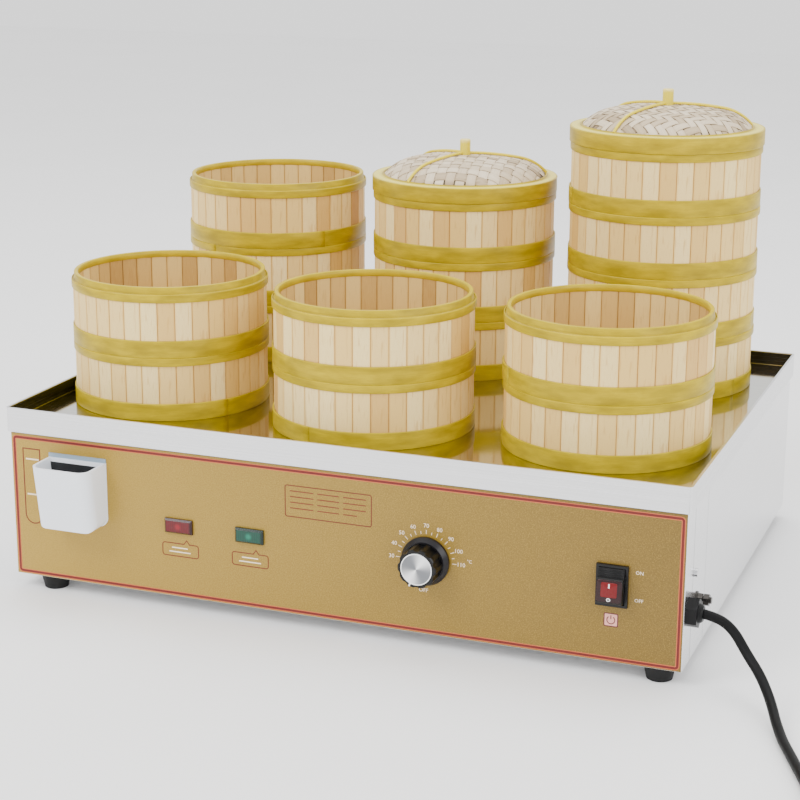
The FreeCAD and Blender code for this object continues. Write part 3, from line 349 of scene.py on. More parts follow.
def moulded(name, colour, roughness, coat=0.0, grain=900.0, depth=0.00002, shine=0.3):
    """Moulded plastic or rubber with a fine spark-eroded grain."""
    finish = Finish(name, Specular_IOR_Level=shine, Coat_Weight=coat, Coat_Roughness=0.15)
    at = finish.place()
    fine = finish.noise(at, grain, 2.0)
    cloud = finish.noise(at, 45.0, 3.0)
    high = tuple(min(1.0, c * 1.1 + 0.002) for c in colour[:3]) + (1.0,)
    base = finish.ramp(cloud, (0.3, dimmed(colour, 0.88)), (0.7, high))
    return finish.done(base, fine * 0.1 + cloud * 0.08 + (roughness - 0.09), fine, depth, 0.6)


def printed_film(name):
    """Gold-brown film: a fine speckle, and painted light that makes it paler on the left and deeper on
    the right.
    """
    finish = Finish(name, Specular_IOR_Level=0.4, Coat_Weight=0.1, Coat_Roughness=0.25)
    at = finish.place()
    speckle = finish.noise(at, 900.0, 2.0, 0.7)
    blotch = finish.noise(at, 60.0, 4.0)
    # Painted light: the film's colour runs from pale at the left end to deep at the right, as light
    # falling from the left.
    ends = {"From Min": float(PANEL_LOW[0]), "From Max": float(PANEL_HIGH[0])}
    reach = finish.node("ShaderNodeMapRange", None, {"Value": finish.axes(at)[0], **ends})
    base = finish.mix(reach, light(168, 136, 46), light(104, 80, 14))
    base = finish.layered(
        base,
        (speckle.above(0.56, 0.2) * 0.3, light(194, 160, 74)),
        (speckle.below(0.42, 0.2) * 0.25, light(104, 76, 16)),
        (blotch * 0.12, light(150, 114, 34)),
    )
    return finish.done(base, speckle * 0.15 + 0.36, speckle, 0.00002, 0.4)


def split_bamboo(name, pale, deep, dark, groove, streaks):
    """Split bamboo: each strip its own tone up to 0.86, a groove at 1, and grain along its length."""
    finish = Finish(name, Specular_IOR_Level=0.35)
    uv = finish.own_uv()
    grain = finish.noise(finish.stretched(uv, (26.0, 0.9, 1.0)), 1.0, 5.0, 0.62)
    streak = finish.noise(finish.stretched(uv, (7.0, 0.35, 1.0), (3.1, 0.0, 0.0)), 1.0, 2.0)
    fleck = finish.noise(finish.stretched(uv, (60.0, 3.0, 1.0)), 1.0, 2.0)
    stops = (0.0, pale), (0.5, deep), (0.86, dark), (0.95, groove)
    base = finish.ramp(finish.attribute("tone"), *stops)
    base = finish.layered(
        base,
        (grain.above(0.55, 0.22) * 0.3, deep),
        (streak.above(0.62, 0.12) * streaks, dark),
        (fleck.above(0.68, 0.05) * streaks, light(176, 122, 62)),
    )
    return finish.done(base, grain * 0.2 + 0.46, grain, 0.00012)


def hoop_skin(name, colour, deep, edge):
    """Dyed bamboo band: smooth, with long fibres round it and paler worn edges."""
    finish = Finish(name, Specular_IOR_Level=0.2)
    uv = finish.own_uv()
    fibre = finish.noise(finish.stretched(uv, (0.35, 18.0, 1.0)), 1.0, 4.0, 0.55)
    cloud = finish.noise(finish.stretched(uv, (0.35, 1.2, 1.0), (5.0, 1.0, 0.0)), 1.0, 3.0)
    base = finish.ramp(cloud, (0.3, deep), (0.7, colour))
    base = finish.mix(fibre.above(0.52, 0.3) * 0.35, base, deep)
    base = finish.mix(finish.attribute("tone"), base, edge)
    return finish.done(base, fibre * 0.18 + 0.28, fibre, 0.00010, 0.45)


def handle_yellow(name, colour, foot):
    """Lacquered cane: bright yellow, paler where it is worn near the top of the stick."""
    finish = Finish(name, Coat_Weight=0.3, Coat_Roughness=0.2)
    at = finish.place()
    cloud = finish.noise(at, 220.0, 3.0)
    worn = (finish.axes(at)[2] + cloud * 0.004).above(foot + WORN_FROM * MM, 0.003)
    base = finish.mix(cloud * 0.3, colour, dimmed(colour, 0.75))
    base = finish.mix(worn * 0.55, base, light(246, 226, 150))
    return finish.done(base, cloud * 0.15 + 0.25, cloud, 0.00006)


def tray_finish(name):
    """Steel tray: mirror-polished deck, brushed rim, and a painted dark reflection on the inside of
    the rim.
    """
    finish = Finish(name, Metallic=1.0)
    at = finish.place()
    x, y, z = finish.axes(at)
    middle = (TRAY_LOW + TRAY_HIGH) / 2
    half = (TRAY_HIGH - TRAY_LOW) / 2 - RIM_THICK * MM
    over_x = (x - float(middle[0])).math("ABSOLUTE") - float(half[0])
    over_y = (y - float(middle[1])).math("ABSOLUTE") - float(half[1])
    inside = over_x.math("MAXIMUM", over_y).below(0.1 * MM)
    deck = inside * z.below(RIM_PAINTED_REFLECTION[0] * MM)
    # Painted reflection: inside the rim, between these heights, the steel is painted near-black in
    # place of the dark surroundings it mirrors.
    wall = inside * z.above(RIM_PAINTED_REFLECTION[0] * MM) * z.below(RIM_PAINTED_REFLECTION[1] * MM)
    lines = finish.noise(finish.stretched(at, (3.0, 3.0, 1400.0)), 1.0, 4.0)
    drawn = finish.noise(finish.stretched(at, (5.0, 700.0, 5.0)), 1.0, 4.0)
    cloud = finish.noise(at, 12.0, 3.0)
    rim_tone = finish.ramp(lines, (0.3, grey(0.70, 0.01)), (0.7, grey(0.80, 0.01)))
    deck_tone = finish.ramp(drawn, (0.3, (0.55, 0.54, 0.50, 1)), (0.7, (0.61, 0.60, 0.55, 1)))
    base = finish.mix(deck, rim_tone, deck_tone)
    base = finish.mix(wall, base, grey(0.05, 0.005))
    polished = drawn * 0.05 + cloud * 0.04 + 0.035
    roughness = finish.between(deck, lines * 0.12 + 0.2, polished)
    return finish.done(base, roughness, finish.between(deck, lines, drawn * 0.15), 0.00002)


def cup_finish(name):
    """Milky moulded plastic: a grey-blue band along the flange and painted shade on the pocket's back
    wall.
    """
    finish = Finish(name, Specular_IOR_Level=0.5, Coat_Weight=0.15)
    at = finish.place()
    x, y, z = finish.axes(at)
    cloud = finish.noise(at, 40.0, 3.0)
    fine = finish.noise(at, 800.0, 2.0)
    wall = float(PANEL_LOW[1])
    band = y.above(wall - 1.6 * MM) * z.above(CUP_BAND_FROM * MM)
    side = (x - float(CUP_LOW[0] + CUP_HIGH[0]) / 2).math("ABSOLUTE")
    # Painted shade: a near-black patch on the pocket's back wall, between these heights and within
    # this half width.
    dark = y.above(wall - 3.7 * MM) * y.below(wall - 3.2 * MM) * side.below(CUP_SHADE_HALF * MM)
    dark = dark * z.above(CUP_SHADE_HEIGHTS[0] * MM) * z.below(CUP_SHADE_HEIGHTS[1] * MM)
    base = finish.mix(cloud * 0.3, light(238, 242, 248), light(222, 230, 240))
    base = finish.layered(base, (band, light(140, 158, 172)), (dark, light(14, 15, 17)))
    return finish.done(base, fine * 0.12 + 0.28, fine, 0.00002)


def paper_backdrop(name):
    """Plain white studio paper."""
    finish = Finish(name)
    cloud = finish.noise(finish.place(), 3.0, 2.0)
    return finish.done(finish.ramp(cloud, (0.3, grey(0.94)), (0.7, grey(0.96))), cloud * 0.05 + 0.6)


# Surfaces on grids
def grid(points, tone=0.0, uv=None, closed=False):
    """One surface: points is rows by columns by xyz in millimetres, closed joins the columns' ends."""
    points = np.asarray(points, float)
    rows, cols = points.shape[:2]
    if uv is None:
        uv = np.stack(np.meshgrid(np.arange(cols), np.arange(rows)), -1)
    tone = np.broadcast_to(tone, (rows, cols))
    return {"points": points, "tone": tone, "uv": np.asarray(uv, float), "closed": closed}


def added(name, data):
    """A new object in the scene, at the origin."""
    made = bpy.data.objects.new(name, data)
    bpy.context.scene.collection.objects.link(made)
    return made


def piece(name, grids, material, body, middle, replaces=(), smooth=True):
    """Joins grids into one mesh: neighbouring grid points make four-sided faces."""
    places, faces, tones, uvs = [], [], [], []
    start = 0
    for g in grids:
        rows, cols = g["points"].shape[:2]
        steps = np.arange(cols if g["closed"] else cols - 1)
        row, step = np.meshgrid(start + np.arange(rows - 1) * cols, steps, indexing="ij")
        here, after = row + step, row + (step + 1) % cols
        faces.append(np.stack([here, after, after + cols, here + cols], -1).reshape(-1, 4))
        places.append(g["points"].reshape(-1, 3))
        tones.append(g["tone"].reshape(-1))
        uvs.append(g["uv"].reshape(-1, 2))
        start += rows * cols
    mesh = bpy.data.meshes.new(name)
    mesh.from_pydata(np.concatenate(places) * MM + middle, [], np.concatenate(faces))
    mesh.update()
    tone = mesh.attributes.new("tone", "FLOAT", "POINT")
    tone.data.foreach_set("value", np.concatenate(tones).astype(np.float32))
    layer = mesh.uv_layers.new(name="across_along")
    loops = np.empty(len(mesh.loops), np.int32)
    mesh.loops.foreach_get("vertex_index", loops)
    layer.data.foreach_set("uv", np.concatenate(uvs)[loops].astype(np.float32).ravel())
    mesh.polygons.foreach_set("use_smooth", np.full(len(mesh.polygons), smooth))
    mesh.materials.append(material)
    made = added(name, mesh)
    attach(made, body)
    if replaces:
        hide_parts(*replaces)
    return made


def around(radius, angle, height):
    """Places round an upright axis: x = r cos a, y = r sin a."""
    x, y = radius * np.cos(angle), radius * np.sin(angle)
    return np.stack(np.broadcast_arrays(x, y, height), -1)


def rotated(x, y, angle):
    """A turn of the plane: x cos a - y sin a, and x sin a + y cos a."""
    c, s = math.cos(angle), math.sin(angle)
    return x * c - y * s, x * s + y * c


def turned(profile, steps, tone):
    """A profile of radius and height pairs carried round an upright axis."""
    profile = np.asarray(profile, float)
    angle = np.linspace(0, 2 * np.pi, steps, endpoint=False)
    points = around(profile[:, :1], angle, profile[:, 1:])
    length = np.concatenate([[0], np.cumsum(np.hypot(*np.diff(profile, axis=0).T))])
    uv = np.stack(np.meshgrid(angle * profile[:, 0].max() / 10, length / 10), -1)
    shade = np.asarray(tone, float)
    return grid(points, shade[:, None] if shade.ndim else shade, uv, True)


def seat(node):
    """The middle of a node's underside."""
    low, high = span(node)
    return np.array([*(low[:2] + high[:2]) / 2, low[2]])


# Sizes and colours that a user would change
def tint(name, description, *steps):
    """A colour property whose default is given in display steps."""
    return bpy.props.FloatVectorProperty(
        name=name, description=description, subtype="COLOR", size=4, default=light(*steps))


class SteamerColours(bpy.types.PropertyGroup):
    stave_pale: tint("Pale stave", "Palest of the split bamboo staves", 248, 222, 158)
    stave_deep: tint("Deep stave", "Common tone of the split bamboo staves", 228, 190, 110)
    stave_dark: tint("Dark stave", "Darkest of the split bamboo staves", 196, 144, 68)
    hoop: tint("Hoop", "Dyed yellow of the hoops and lids", 194, 168, 0)
    hoop_deep: tint("Deep hoop", "Darker streaks in the hoops", 152, 130, 0)
    hoop_edge: tint("Hoop edge", "Pale worn edge of the hoops and lips", 232, 216, 90)
    weave_pale: tint("Pale weave", "Palest of the woven strips", 226, 210, 184)
    weave_deep: tint("Deep weave", "Common tone of the woven strips", 186, 166, 134)
    weave_dark: tint("Dark weave", "Darkest of the woven strips", 130, 108, 78)
    handle: tint("Handle", "Lacquer of the lids' sticks and ribs", 228, 206, 0)


class SteamerSizes(bpy.types.PropertyGroup):
    stave_groove: bpy.props.FloatProperty(
        name="Stave groove", description="Depth of the gap between two staves, in millimetres",
        default=STAVE_GROOVE, min=0.0, max=2.0)
    hoop_lap: bpy.props.FloatProperty(
        name="Hoop lap", description="Step where a hoop's end laps over its start, in millimetres",
        default=0.7, min=0.0, max=1.2)
    seed: bpy.props.IntProperty(
        name="Seed", description="Seed of the staves' tones and the lap seams' places", default=7)


def colours():
    return bpy.context.scene.steamer_colours


def sizes():
    return bpy.context.scene.steamer_sizes


# Mains lead
def half_turn(start, end, side):
    """Control points of half a circle from start to end; x = m + r cos a, y = r sin a."""
    (x0, z0), (x1, z1) = start, end
    share = (np.arange(COIL_POINTS) + 0.5) / COIL_POINTS
    angle = np.pi * share
    middle, reach = (x0 + x1) / 2, (x0 - x1) / 2
    wide = 1.0 / math.cos(np.pi / 2 / COIL_POINTS)
    x = middle + reach * wide * np.cos(angle)
    y = side * abs(reach) * wide * np.sin(angle)
    z = (z0 + z1) / 2 + (z0 - z1) / 2 * np.cos(angle)
    return np.stack([x, y, z], -1)


def lead_points():
    points = [np.array(CORD_ROUTE)]
    side = -1
    for start, end in zip(COIL_STOPS, COIL_STOPS[1:]):
        turn = half_turn(start, end, side)
        points.append(turn + (*COIL_AT, 0.0))
        side = -side
    last_x, last_z = COIL_STOPS[-1]
    end = np.array([COIL_AT[0] + last_x, COIL_AT[1], last_z])
    points.append(np.array([end, end + (0, COIL_END, 0)]))
    return np.concatenate(points) * MM + CASE_MIDDLE


def lead_clip():
    """A C-shaped band: its path over the strands, moved half the thickness to each side."""
    line = np.array(CLIP_PATH)
    ahead = np.gradient(line, axis=0)
    ahead /= np.linalg.norm(ahead, axis=1)[:, None]
    side = np.stack([-ahead[:, 1], ahead[:, 0]], -1) * CLIP_THICK / 2
    half = CLIP_WIDE / 2
    rows = [(line + side, -half), (line + side, half), (line - side, half), (line - side, -half)]
    points = np.stack([np.insert(flat, 1, wide, axis=1) for flat, wide in rows], 1)
    ends = points.mean(1, keepdims=True)
    points = np.concatenate([ends[:1] + 0 * points[:1], points, ends[-1:] + 0 * points[-1:]])
    return grid(points, 0.0, None, True)


class STEAMER_OT_mains_lead(bpy.types.Operator):
    """Lay the mains lead and its coil as one smooth line"""
    bl_idname = "steamer.mains_lead"
    bl_label = "Mains lead"

    def execute(self, context):
        points = lead_points()
        curve = bpy.data.curves.new("mains_lead", "CURVE")
        curve.dimensions = "3D"
        spline = curve.splines.new("NURBS")
        spline.points.add(len(points) - 1)
        flat = np.concatenate([points, np.ones((len(points), 1))], 1)
        spline.points.foreach_set("co", flat.ravel())
        spline.order_u = 3
        spline.use_endpoint_u = True
        spline.resolution_u = 6
        curve.bevel_depth = CORD_DIAMETER / 2 * MM
        curve.bevel_resolution = 5
        curve.use_fill_caps = True
        lead = added("mains_lead", curve)
        curve.materials.append(moulded("Lead rubber", light(4, 4, 5), 0.5, 0.0, 500.0, shine=0.15))
        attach(lead, "casing")
        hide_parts("power_cord", "power_cord_coil")
        coil_middle = np.array([*COIL_AT, 0.0]) * MM + CASE_MIDDLE
        nylon = moulded("Clip nylon", light(12, 12, 13), 0.4)
        band = [lead_clip()]
        clip = piece("lead_clip", band, nylon, "casing", coil_middle, smooth=False)
        return {"FINISHED"}


# Baskets
def stave_ring(radius, low, high, groove, inward, tones, rows):
    """Flat staves round a circle, each face a chord whose edges drop into a groove."""
    share = np.array([0.0, 0.035, 0.12, 0.5, 0.88, 0.965])
    drop = np.array([1.0, 0.25, 0.0, 0.0, 0.0, 0.25]) * groove
    pitch = 2 * np.pi / STAVES
    angle = (np.arange(STAVES)[:, None] + share[None, :]) * pitch
    chord = math.cos(pitch / 2) / np.cos((share - 0.5) * pitch)
    sign = 1.0 if inward else -1.0
    radius = (radius * chord + sign * drop)[None, :] + (tones[:, None] - 0.5) * 0.3 * sign
    angle, radius = angle.ravel(), radius.ravel()
    tone = np.repeat(tones, len(share))
    groove_dark = np.tile(drop / max(groove, 0.01), STAVES)
    z = np.linspace(low, high, rows)[:, None]
    points = around(radius, angle, z)
    u = (np.arange(STAVES)[:, None] * 3.7 + share[None, :]).ravel()
    uv = np.stack([u + 0 * z, z / 10 + 0 * u], -1)
    shade = tone * 0.85 * (1 - groove_dark) + groove_dark + 0 * z
    if inward:
        points, uv, shade = points[::-1], uv[::-1], shade[::-1]
    return grid(points, shade, uv, True)


def hoop_band(low, high, lap, seam, out_r=HOOP_R, in_r=HOOP_IN_R):
    """A band wound once: its radius grows by lap along the turn and steps back at the seam."""
    turn = np.concatenate([np.linspace(0, 1, 97), [1.0]])
    angle = seam + turn * 2 * np.pi
    rise = lap * turn
    rise[-1] = 0.0
    outer = out_r - lap
    wide = high - low
    inset = np.array([0.6, 0.2, 0.0, 0.0, 0.0, 0.2, 0.6])
    height = np.array([0.0, 0.3, 0.9, wide / 2, wide - 0.9, wide - 0.3, wide])
    edge = np.array([0.0, 0.12, 0.0, 0.0, 0.0, 0.3, 0.3])
    radius = outer + rise[None, :] - inset[:, None]
    radius = np.concatenate([np.full((1, len(turn)), in_r), radius, np.full((1, len(turn)), in_r)])
    height = np.concatenate([[0.0], height, [wide]])
    edge = np.concatenate([[0.0], edge, [0.3]])
    z = low + height[:, None] + 0 * turn
    points = around(radius, angle, z)
    uv = np.stack([turn * 62.0 + 0 * z, (z - low) / 10 + seam], -1)
    return grid(points, edge[:, None], uv)


def slat(along, low, high, reach, axis):
    """A flat slat clipped by the bore: half its length is sqrt(reach^2 - place^2)."""
    place = np.linspace(max(low, -reach), min(high, reach), 7)
    place = np.concatenate([place[:1], place, place[-1:]])
    half = np.sqrt(np.maximum(reach ** 2 - place ** 2, 0.25))[:, None] * np.array([-1, 1, 1, -1])
    z0, z1 = along
    z = np.tile([z0, z0, z1, z1], (len(place), 1)).astype(float)
    z[0] = z[-1] = (z0 + z1) / 2
    across = place[:, None] + 0 * half
    if axis == "X":
        points = np.stack([half, across, z], -1)
    else:
        points = np.stack([-across, half, z], -1)
    uv = np.stack([across / 4 + 3.7 * low, half / 10], -1)
    return grid(points, 0.35, uv, True)


def grate_slats():
    """Slats across the bore on three bars that cross them."""
    reach = STAVE_IN_R - 0.3
    count = int(reach / SLAT_STEP)
    half = SLAT_WIDE / 2
    rows = SLAT_STEP * np.arange(-count, count + 1)
    slats = [slat(GRATE_SLATS, y - half, y + half, reach, "X") for y in rows]
    bars = [slat(GRATE_BARS, x - half, x + half, reach, "Y") for x in (-BAR_STEP, 0.0, BAR_STEP)]
    return slats + bars


class STEAMER_OT_baskets(bpy.types.Operator):
    """Build every bamboo basket: staves, lip, hoops and grate"""
    bl_idname = "steamer.baskets"
    bl_label = "Baskets"

    def execute(self, context):
        shade, size = colours(), sizes()
        tones = shade.stave_pale, shade.stave_deep, shade.stave_dark
        staves = split_bamboo("Bamboo staves", *tones, light(120, 78, 36), 0.4)
        # Painted shade: the inside's colours are a darker copy of the staves' colours, standing in for
        # the shade inside the basket.
        inner = split_bamboo("Bamboo staves inside", light(228, 202, 134), light(204, 170, 100),
                             light(164, 124, 62), light(84, 56, 26), 0.25)
        skin = hoop_skin("Hoop yellow", shade.hoop, shade.hoop_deep, light(216, 192, 0))
        chance = np.random.default_rng(size.seed)
        lip = (
            (STAVE_R - 0.5, PITCH - 0.2), (LIP_R + 0.2, PITCH), (LIP_R, PITCH + 0.4),
            (LIP_R, LIP_TOP - 0.7), (LIP_R - 0.5, LIP_TOP - 0.1), (LIP_R - 1.0, LIP_TOP),
            (STAVE_IN_R + 0.2, LIP_TOP), (STAVE_IN_R - 0.8, LIP_TOP - 0.5),
            (STAVE_IN_R - 0.8, LIP_TOP - LIP_BAND), (STAVE_IN_R, LIP_TOP - LIP_BAND - 0.6),
        )
        edge = (0.1, 0.0, 0.0, 0.0, 0.2, 0.4, 0.4, 0.2, 0.0, 0.0)
        names = sorted(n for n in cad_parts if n.startswith("basket_") and n.endswith("_body"))
        for node in names:
            body = node[:-5]
            middle = seat(body + "_hoops")
            tones = chance.beta(1.6, 2.6, STAVES)
            outside = [
                stave_ring(STAVE_R, 0.0, PITCH, size.stave_groove, False, tones, 4),
                turned(((SOCKET_R, 0.0), (STAVE_R - 0.6, 0.0)), 96, 0.4),
                turned(((SOCKET_R, SOCKET_HIGH), (SOCKET_R, 0.0)), 96, 0.5),
                turned(((STAVE_IN_R, SOCKET_HIGH), (SOCKET_R, SOCKET_HIGH)), 96, 0.5),
            ]
            piece(body + "_staves", outside, staves, body, middle, [node], smooth=False)
            tones = chance.beta(2, 2, STAVES)
            inside = [stave_ring(STAVE_IN_R, SOCKET_HIGH, LIP_TOP - 1, 0.5, True, tones, 4)]
            inside += grate_slats()
            piece(body + "_inside", inside, inner, body, middle, smooth=False)
            seams = chance.uniform(0, 2 * np.pi, 2)
            bands = [
                turned(lip, 96, edge),
                hoop_band(*LOW_HOOP, size.hoop_lap, seams[0]),
                hoop_band(*HIGH_HOOP, size.hoop_lap, seams[1]),
            ]
            piece(body + "_bands", bands, skin, body, middle, [body + "_hoops"])
        return {"FINISHED"}


# Lids
def dome_height(radius):
    """Height over the radius: a wide cap z = zc + sqrt(R^2 - r^2), then a tight shoulder."""
    slope = CAP_EDGE / CAP_R
    rise = math.sqrt(1 - slope ** 2)
    low = DOME_TOP - CAP_R
    shoulder_at = CAP_EDGE - SHOULDER_R * slope
    shoulder_low = low + CAP_R * rise - SHOULDER_R * rise
    cap = low + np.sqrt(CAP_R ** 2 - np.minimum(radius, CAP_EDGE) ** 2)
    past = np.clip(radius - shoulder_at, 0, SHOULDER_R)
    shoulder = shoulder_low + np.sqrt(SHOULDER_R ** 2 - past ** 2)
    return np.where(radius < CAP_EDGE, cap, shoulder)


def woven_strips(pitch, repeat, turn, chance):
    """Two crossing families of strips: height = dome + a * cos(pi * (step + row) / repeat)."""
    grids = []
    half = pitch * 0.435
    rows = int(WEAVE_R / pitch)
    for family in (0, 1):
        spin = turn + family * math.pi / 2
        for row in range(-rows, rows + 1):
            middle = row * pitch
            if abs(middle) + half > WEAVE_R - 1:
                continue
            across = middle + np.array([-half, -half * 0.85, 0.0, half * 0.85, half])[:, None]
            reach = np.sqrt(WEAVE_R ** 2 - across ** 2)
            count = int(2 * reach.max() / pitch * 5)
            along = np.linspace(-1, 1, count)[None, :] * reach
            step = along / pitch + (0.5 if repeat > 1 else 0.0)
            wave = np.cos(np.pi * (step + row * (1 - 2 * family)) / repeat)
            wave = np.clip(wave * 1.9, -1, 1) * (1 - 2 * family)
            fall = 0.12 * (np.abs(across - middle) / half) ** 2
            x, y = rotated(along, across, spin)
            z = dome_height(np.hypot(x, y)) - 0.6 + 0.5 * wave - fall
            rim = (np.abs(across - middle) / half) ** 6
            # Painted shade: strips darken where they dive under the crossing strips and towards their
            # edges; the beta share is each strip's own tone.
            tone = chance.beta(1.5, 1.8) * 0.7 + 0.35 * np.clip(-wave, 0, 1) + 0.2 * rim
            uv = np.stack([across / 6 + row * 3.1 + family * 40 + 0 * along, along / 10], -1)
            points = np.stack([x, y, z], -1)
            grids.append(grid(points, np.clip(tone, 0, 1), uv))
    return grids


def dome_lining_and_shade():
    """A near-black sheet under the weave as painted shade seen through its gaps, and the pale layer
    inside the lid.
    """
    outward = np.linspace(CAP_EDGE + 3, WEAVE_R + 0.2, 8)
    radius = np.concatenate([np.linspace(0.4, CAP_EDGE, 8), outward])
    # Painted shade: the upper sheet gets tone 1, the lining's near-black groove colour, so the weave's
    # gaps look shaded.
    over = np.stack([radius[::-1], dome_height(radius[::-1]) - 1.25], -1)
    under = np.stack([radius, dome_height(radius) - 1.75], -1)
    high, low = over[-1, 1], under[0, 1]
    return [
        turned(over, 72, 1.0), turned(under, 72, 0.45),
        turned(((0.4, high), (0.01, high)), 72, 1.0), turned(((0.01, low), (0.4, low)), 72, 0.45),
    ]


class STEAMER_OT_lids(bpy.types.Operator):
    """Weave the lids' domes and bind them with their rings, ribs and sticks"""
    bl_idname = "steamer.lids"
    bl_label = "Lids"

    def execute(self, context):
        shade, size = colours(), sizes()
        skin = hoop_skin("Lid band yellow", shade.hoop, shade.hoop_deep, shade.hoop_edge)
        tones = shade.weave_pale, shade.weave_deep, shade.weave_dark
        strips = split_bamboo("Woven strips", *tones, light(74, 56, 36), 0.25)
        # The lining's near-black groove colour is painted shade under the weave.
        lining = split_bamboo("Weave lining", light(190, 168, 130), light(150, 124, 88),
                              light(90, 72, 50), light(22, 17, 12), 0.1)
        chance = np.random.default_rng(size.seed + 1)
        top = (
            (LID_R - 0.3, LID_HIGH - 1.2), (LID_R - 0.9, LID_HIGH - 0.35), (LID_R - 2.0, LID_HIGH),
            (LID_R - 6.5, LID_HIGH + 0.25), (LID_IN_R + 1.6, LID_HIGH),
            (LID_IN_R + 1.5, LID_HIGH + 1.0), (LID_IN_R + 0.8, LID_HIGH + 1.5),
            (LID_IN_R - 0.4, LID_HIGH + 1.5), (LID_IN_R - 1.0, LID_HIGH + 0.9),
            (LID_IN_R - 1.0, LID_HIGH - 0.5),
        )
        inner = (
            (LID_IN_R - 1.0, LID_HIGH - 0.5), (LID_IN_R, LID_HIGH - 1.6), (LID_IN_R, LID_SOCKET),
            (SOCKET_R, LID_SOCKET), (SOCKET_R, 0.0), (HOOP_IN_R + 1.2, 0.0),
        )
        pale = (0.55, 0.8, 0.9, 0.95, 0.6, 0.0, 0.0, 0.0, 0.0, 0.1)
        for lid, pitch, repeat, turn in (
            ("lid_back_middle", 11.0, 1, math.radians(8)),
            ("lid_back_right", 8.0, 2, math.radians(45)),
        ):
            ring = lid + "_ring"
            middle = seat(ring)
            weave = woven_strips(pitch, repeat, turn, chance)
            woven = piece(lid + "_weave", weave, strips, lid, middle, [lid + "_dome"])
            thick = woven.modifiers.new("strip_thickness", "SOLIDIFY")
            thick.thickness = 0.3 * MM
            thick.offset = -1.0
            piece(lid + "_lining", dome_lining_and_shade(), lining, lid, middle)
            band = hoop_band(0.0, LID_HIGH, size.hoop_lap, chance.uniform(0, 6.28), LID_R, LID_R - 2.0)
            binding = [turned(top, 96, pale), turned(inner, 96, 0.15), band]
            piece(lid + "_binding", binding, skin, lid, middle, [ring])
            foot = float(span(ring)[1][2])
            dress(handle_yellow("Handle yellow " + lid[-5:], shade.handle, foot), lid + "_handle")
        return {"FINISHED"}


# Prints on the front
def standing(rows, tone=0.0, closed=True):
    """Outlines at heights, stood up to face the front: (x, z) at a height becomes (x, -height, z)."""
    points = np.stack([np.insert(flat, 1, -high, axis=1) for flat, high in rows])
    return grid(points[::-1], tone, None, closed)


def arc(x, z, first, last, count, wide, high=None):
    """Points between two angles in degrees: x + wide * cos a, z + high * sin a."""
    angle = np.radians(np.linspace(first, last, count))
    return [(x + wide * math.cos(a), z + (high or wide) * math.sin(a)) for a in angle]


def ribbon(line, width, closed=True, tones=(0, 0), lift=PRINT_HIGH):
    """A raised line: the path moved half its width to each side, along its normal."""
    line = np.asarray(line, float)
    if closed:
        ahead = np.roll(line, -1, 0) - line
        behind = line - np.roll(line, 1, 0)
    else:
        ahead = np.diff(line, axis=0, append=2 * line[-1:] - line[-2:-1])
        behind = np.diff(line, axis=0, prepend=2 * line[:1] - line[1:2])
    ahead /= np.linalg.norm(ahead, axis=1)[:, None]
    behind /= np.linalg.norm(behind, axis=1)[:, None]
    bisector = ahead + behind
    bisector /= np.linalg.norm(bisector, axis=1)[:, None]
    side = np.stack([-bisector[:, 1], bisector[:, 0]], -1)
    mitre = 1 / np.maximum((bisector * ahead).sum(1), 0.5)[:, None]
    outer = line + side * mitre * width / 2
    inner = line - side * mitre * width / 2
    rows = [(outer, 0.0), (outer, lift), (inner, lift), (inner, 0.0)]
    return standing(rows, np.repeat(tones[::-1], 2)[:, None], closed)


def round_box(x0, x1, z0, z1, corner):
    """Corners as quarter circles, in order round the box."""
    line = []
    right, left, top, bottom = x1 - corner, x0 + corner, z1 - corner, z0 + corner
    for turn, at in enumerate(((right, top), (left, top), (left, bottom), (right, bottom))):
        line += arc(*at, 90 * turn, 90 * turn + 90, 7, corner)
    return line


def shrunk(line, share):
    """An outline drawn in towards its middle: middle + (line - middle) * share."""
    middle = line.mean(0)
    return middle + (line - middle) * share


def flat_patch(line, high):
    """A filled print: rings from the outline to its middle, raised a little."""
    line = np.asarray(line, float)
    rows = [(line, 0.0), (line, high), (shrunk(line, 0.5), high), (shrunk(line, 0.01), high)]
    return standing(rows)


def lettering(words):
    """Text made into mesh, then stood up facing the front: (x, y) becomes (x, z)."""
    places, faces, start = [], [], 0
    for text, x, z, size in words:
        curve = bpy.data.curves.new("word", "FONT")
        curve.body = text
        curve.size = size
        curve.align_x, curve.align_y = "CENTER", "CENTER"
        curve.extrude = PRINT_HIGH / 2
        curve.resolution_u = 2
        holder = bpy.data.objects.new("word", curve)
        mesh = bpy.data.meshes.new_from_object(holder)
        flat = np.empty(len(mesh.vertices) * 3)
        mesh.vertices.foreach_get("co", flat)
        flat = flat.reshape(-1, 3)
        out = -flat[:, 2] - PRINT_HIGH / 2
        places.append(np.stack([flat[:, 0] + x, out, flat[:, 1] + z], -1))
        faces += [[v + start for v in face.vertices] for face in mesh.polygons]
        start += len(flat)
        bpy.data.objects.remove(holder)
        bpy.data.curves.remove(curve)
        bpy.data.meshes.remove(mesh)
    return np.concatenate(places), faces


def print_ink(name, colour, other=None):
    """Screen-printed ink, a little worn."""
    finish = Finish(name)
    wear = finish.noise(finish.place(), 700.0, 3.0, 0.6)
    base = finish.mix(wear.above(0.6, 0.2) * 0.35, colour, dimmed(colour, 0.7))
    if other:
        base = finish.mix(finish.attribute("tone"), base, other)
    return finish.done(base, wear * 0.2 + 0.45)


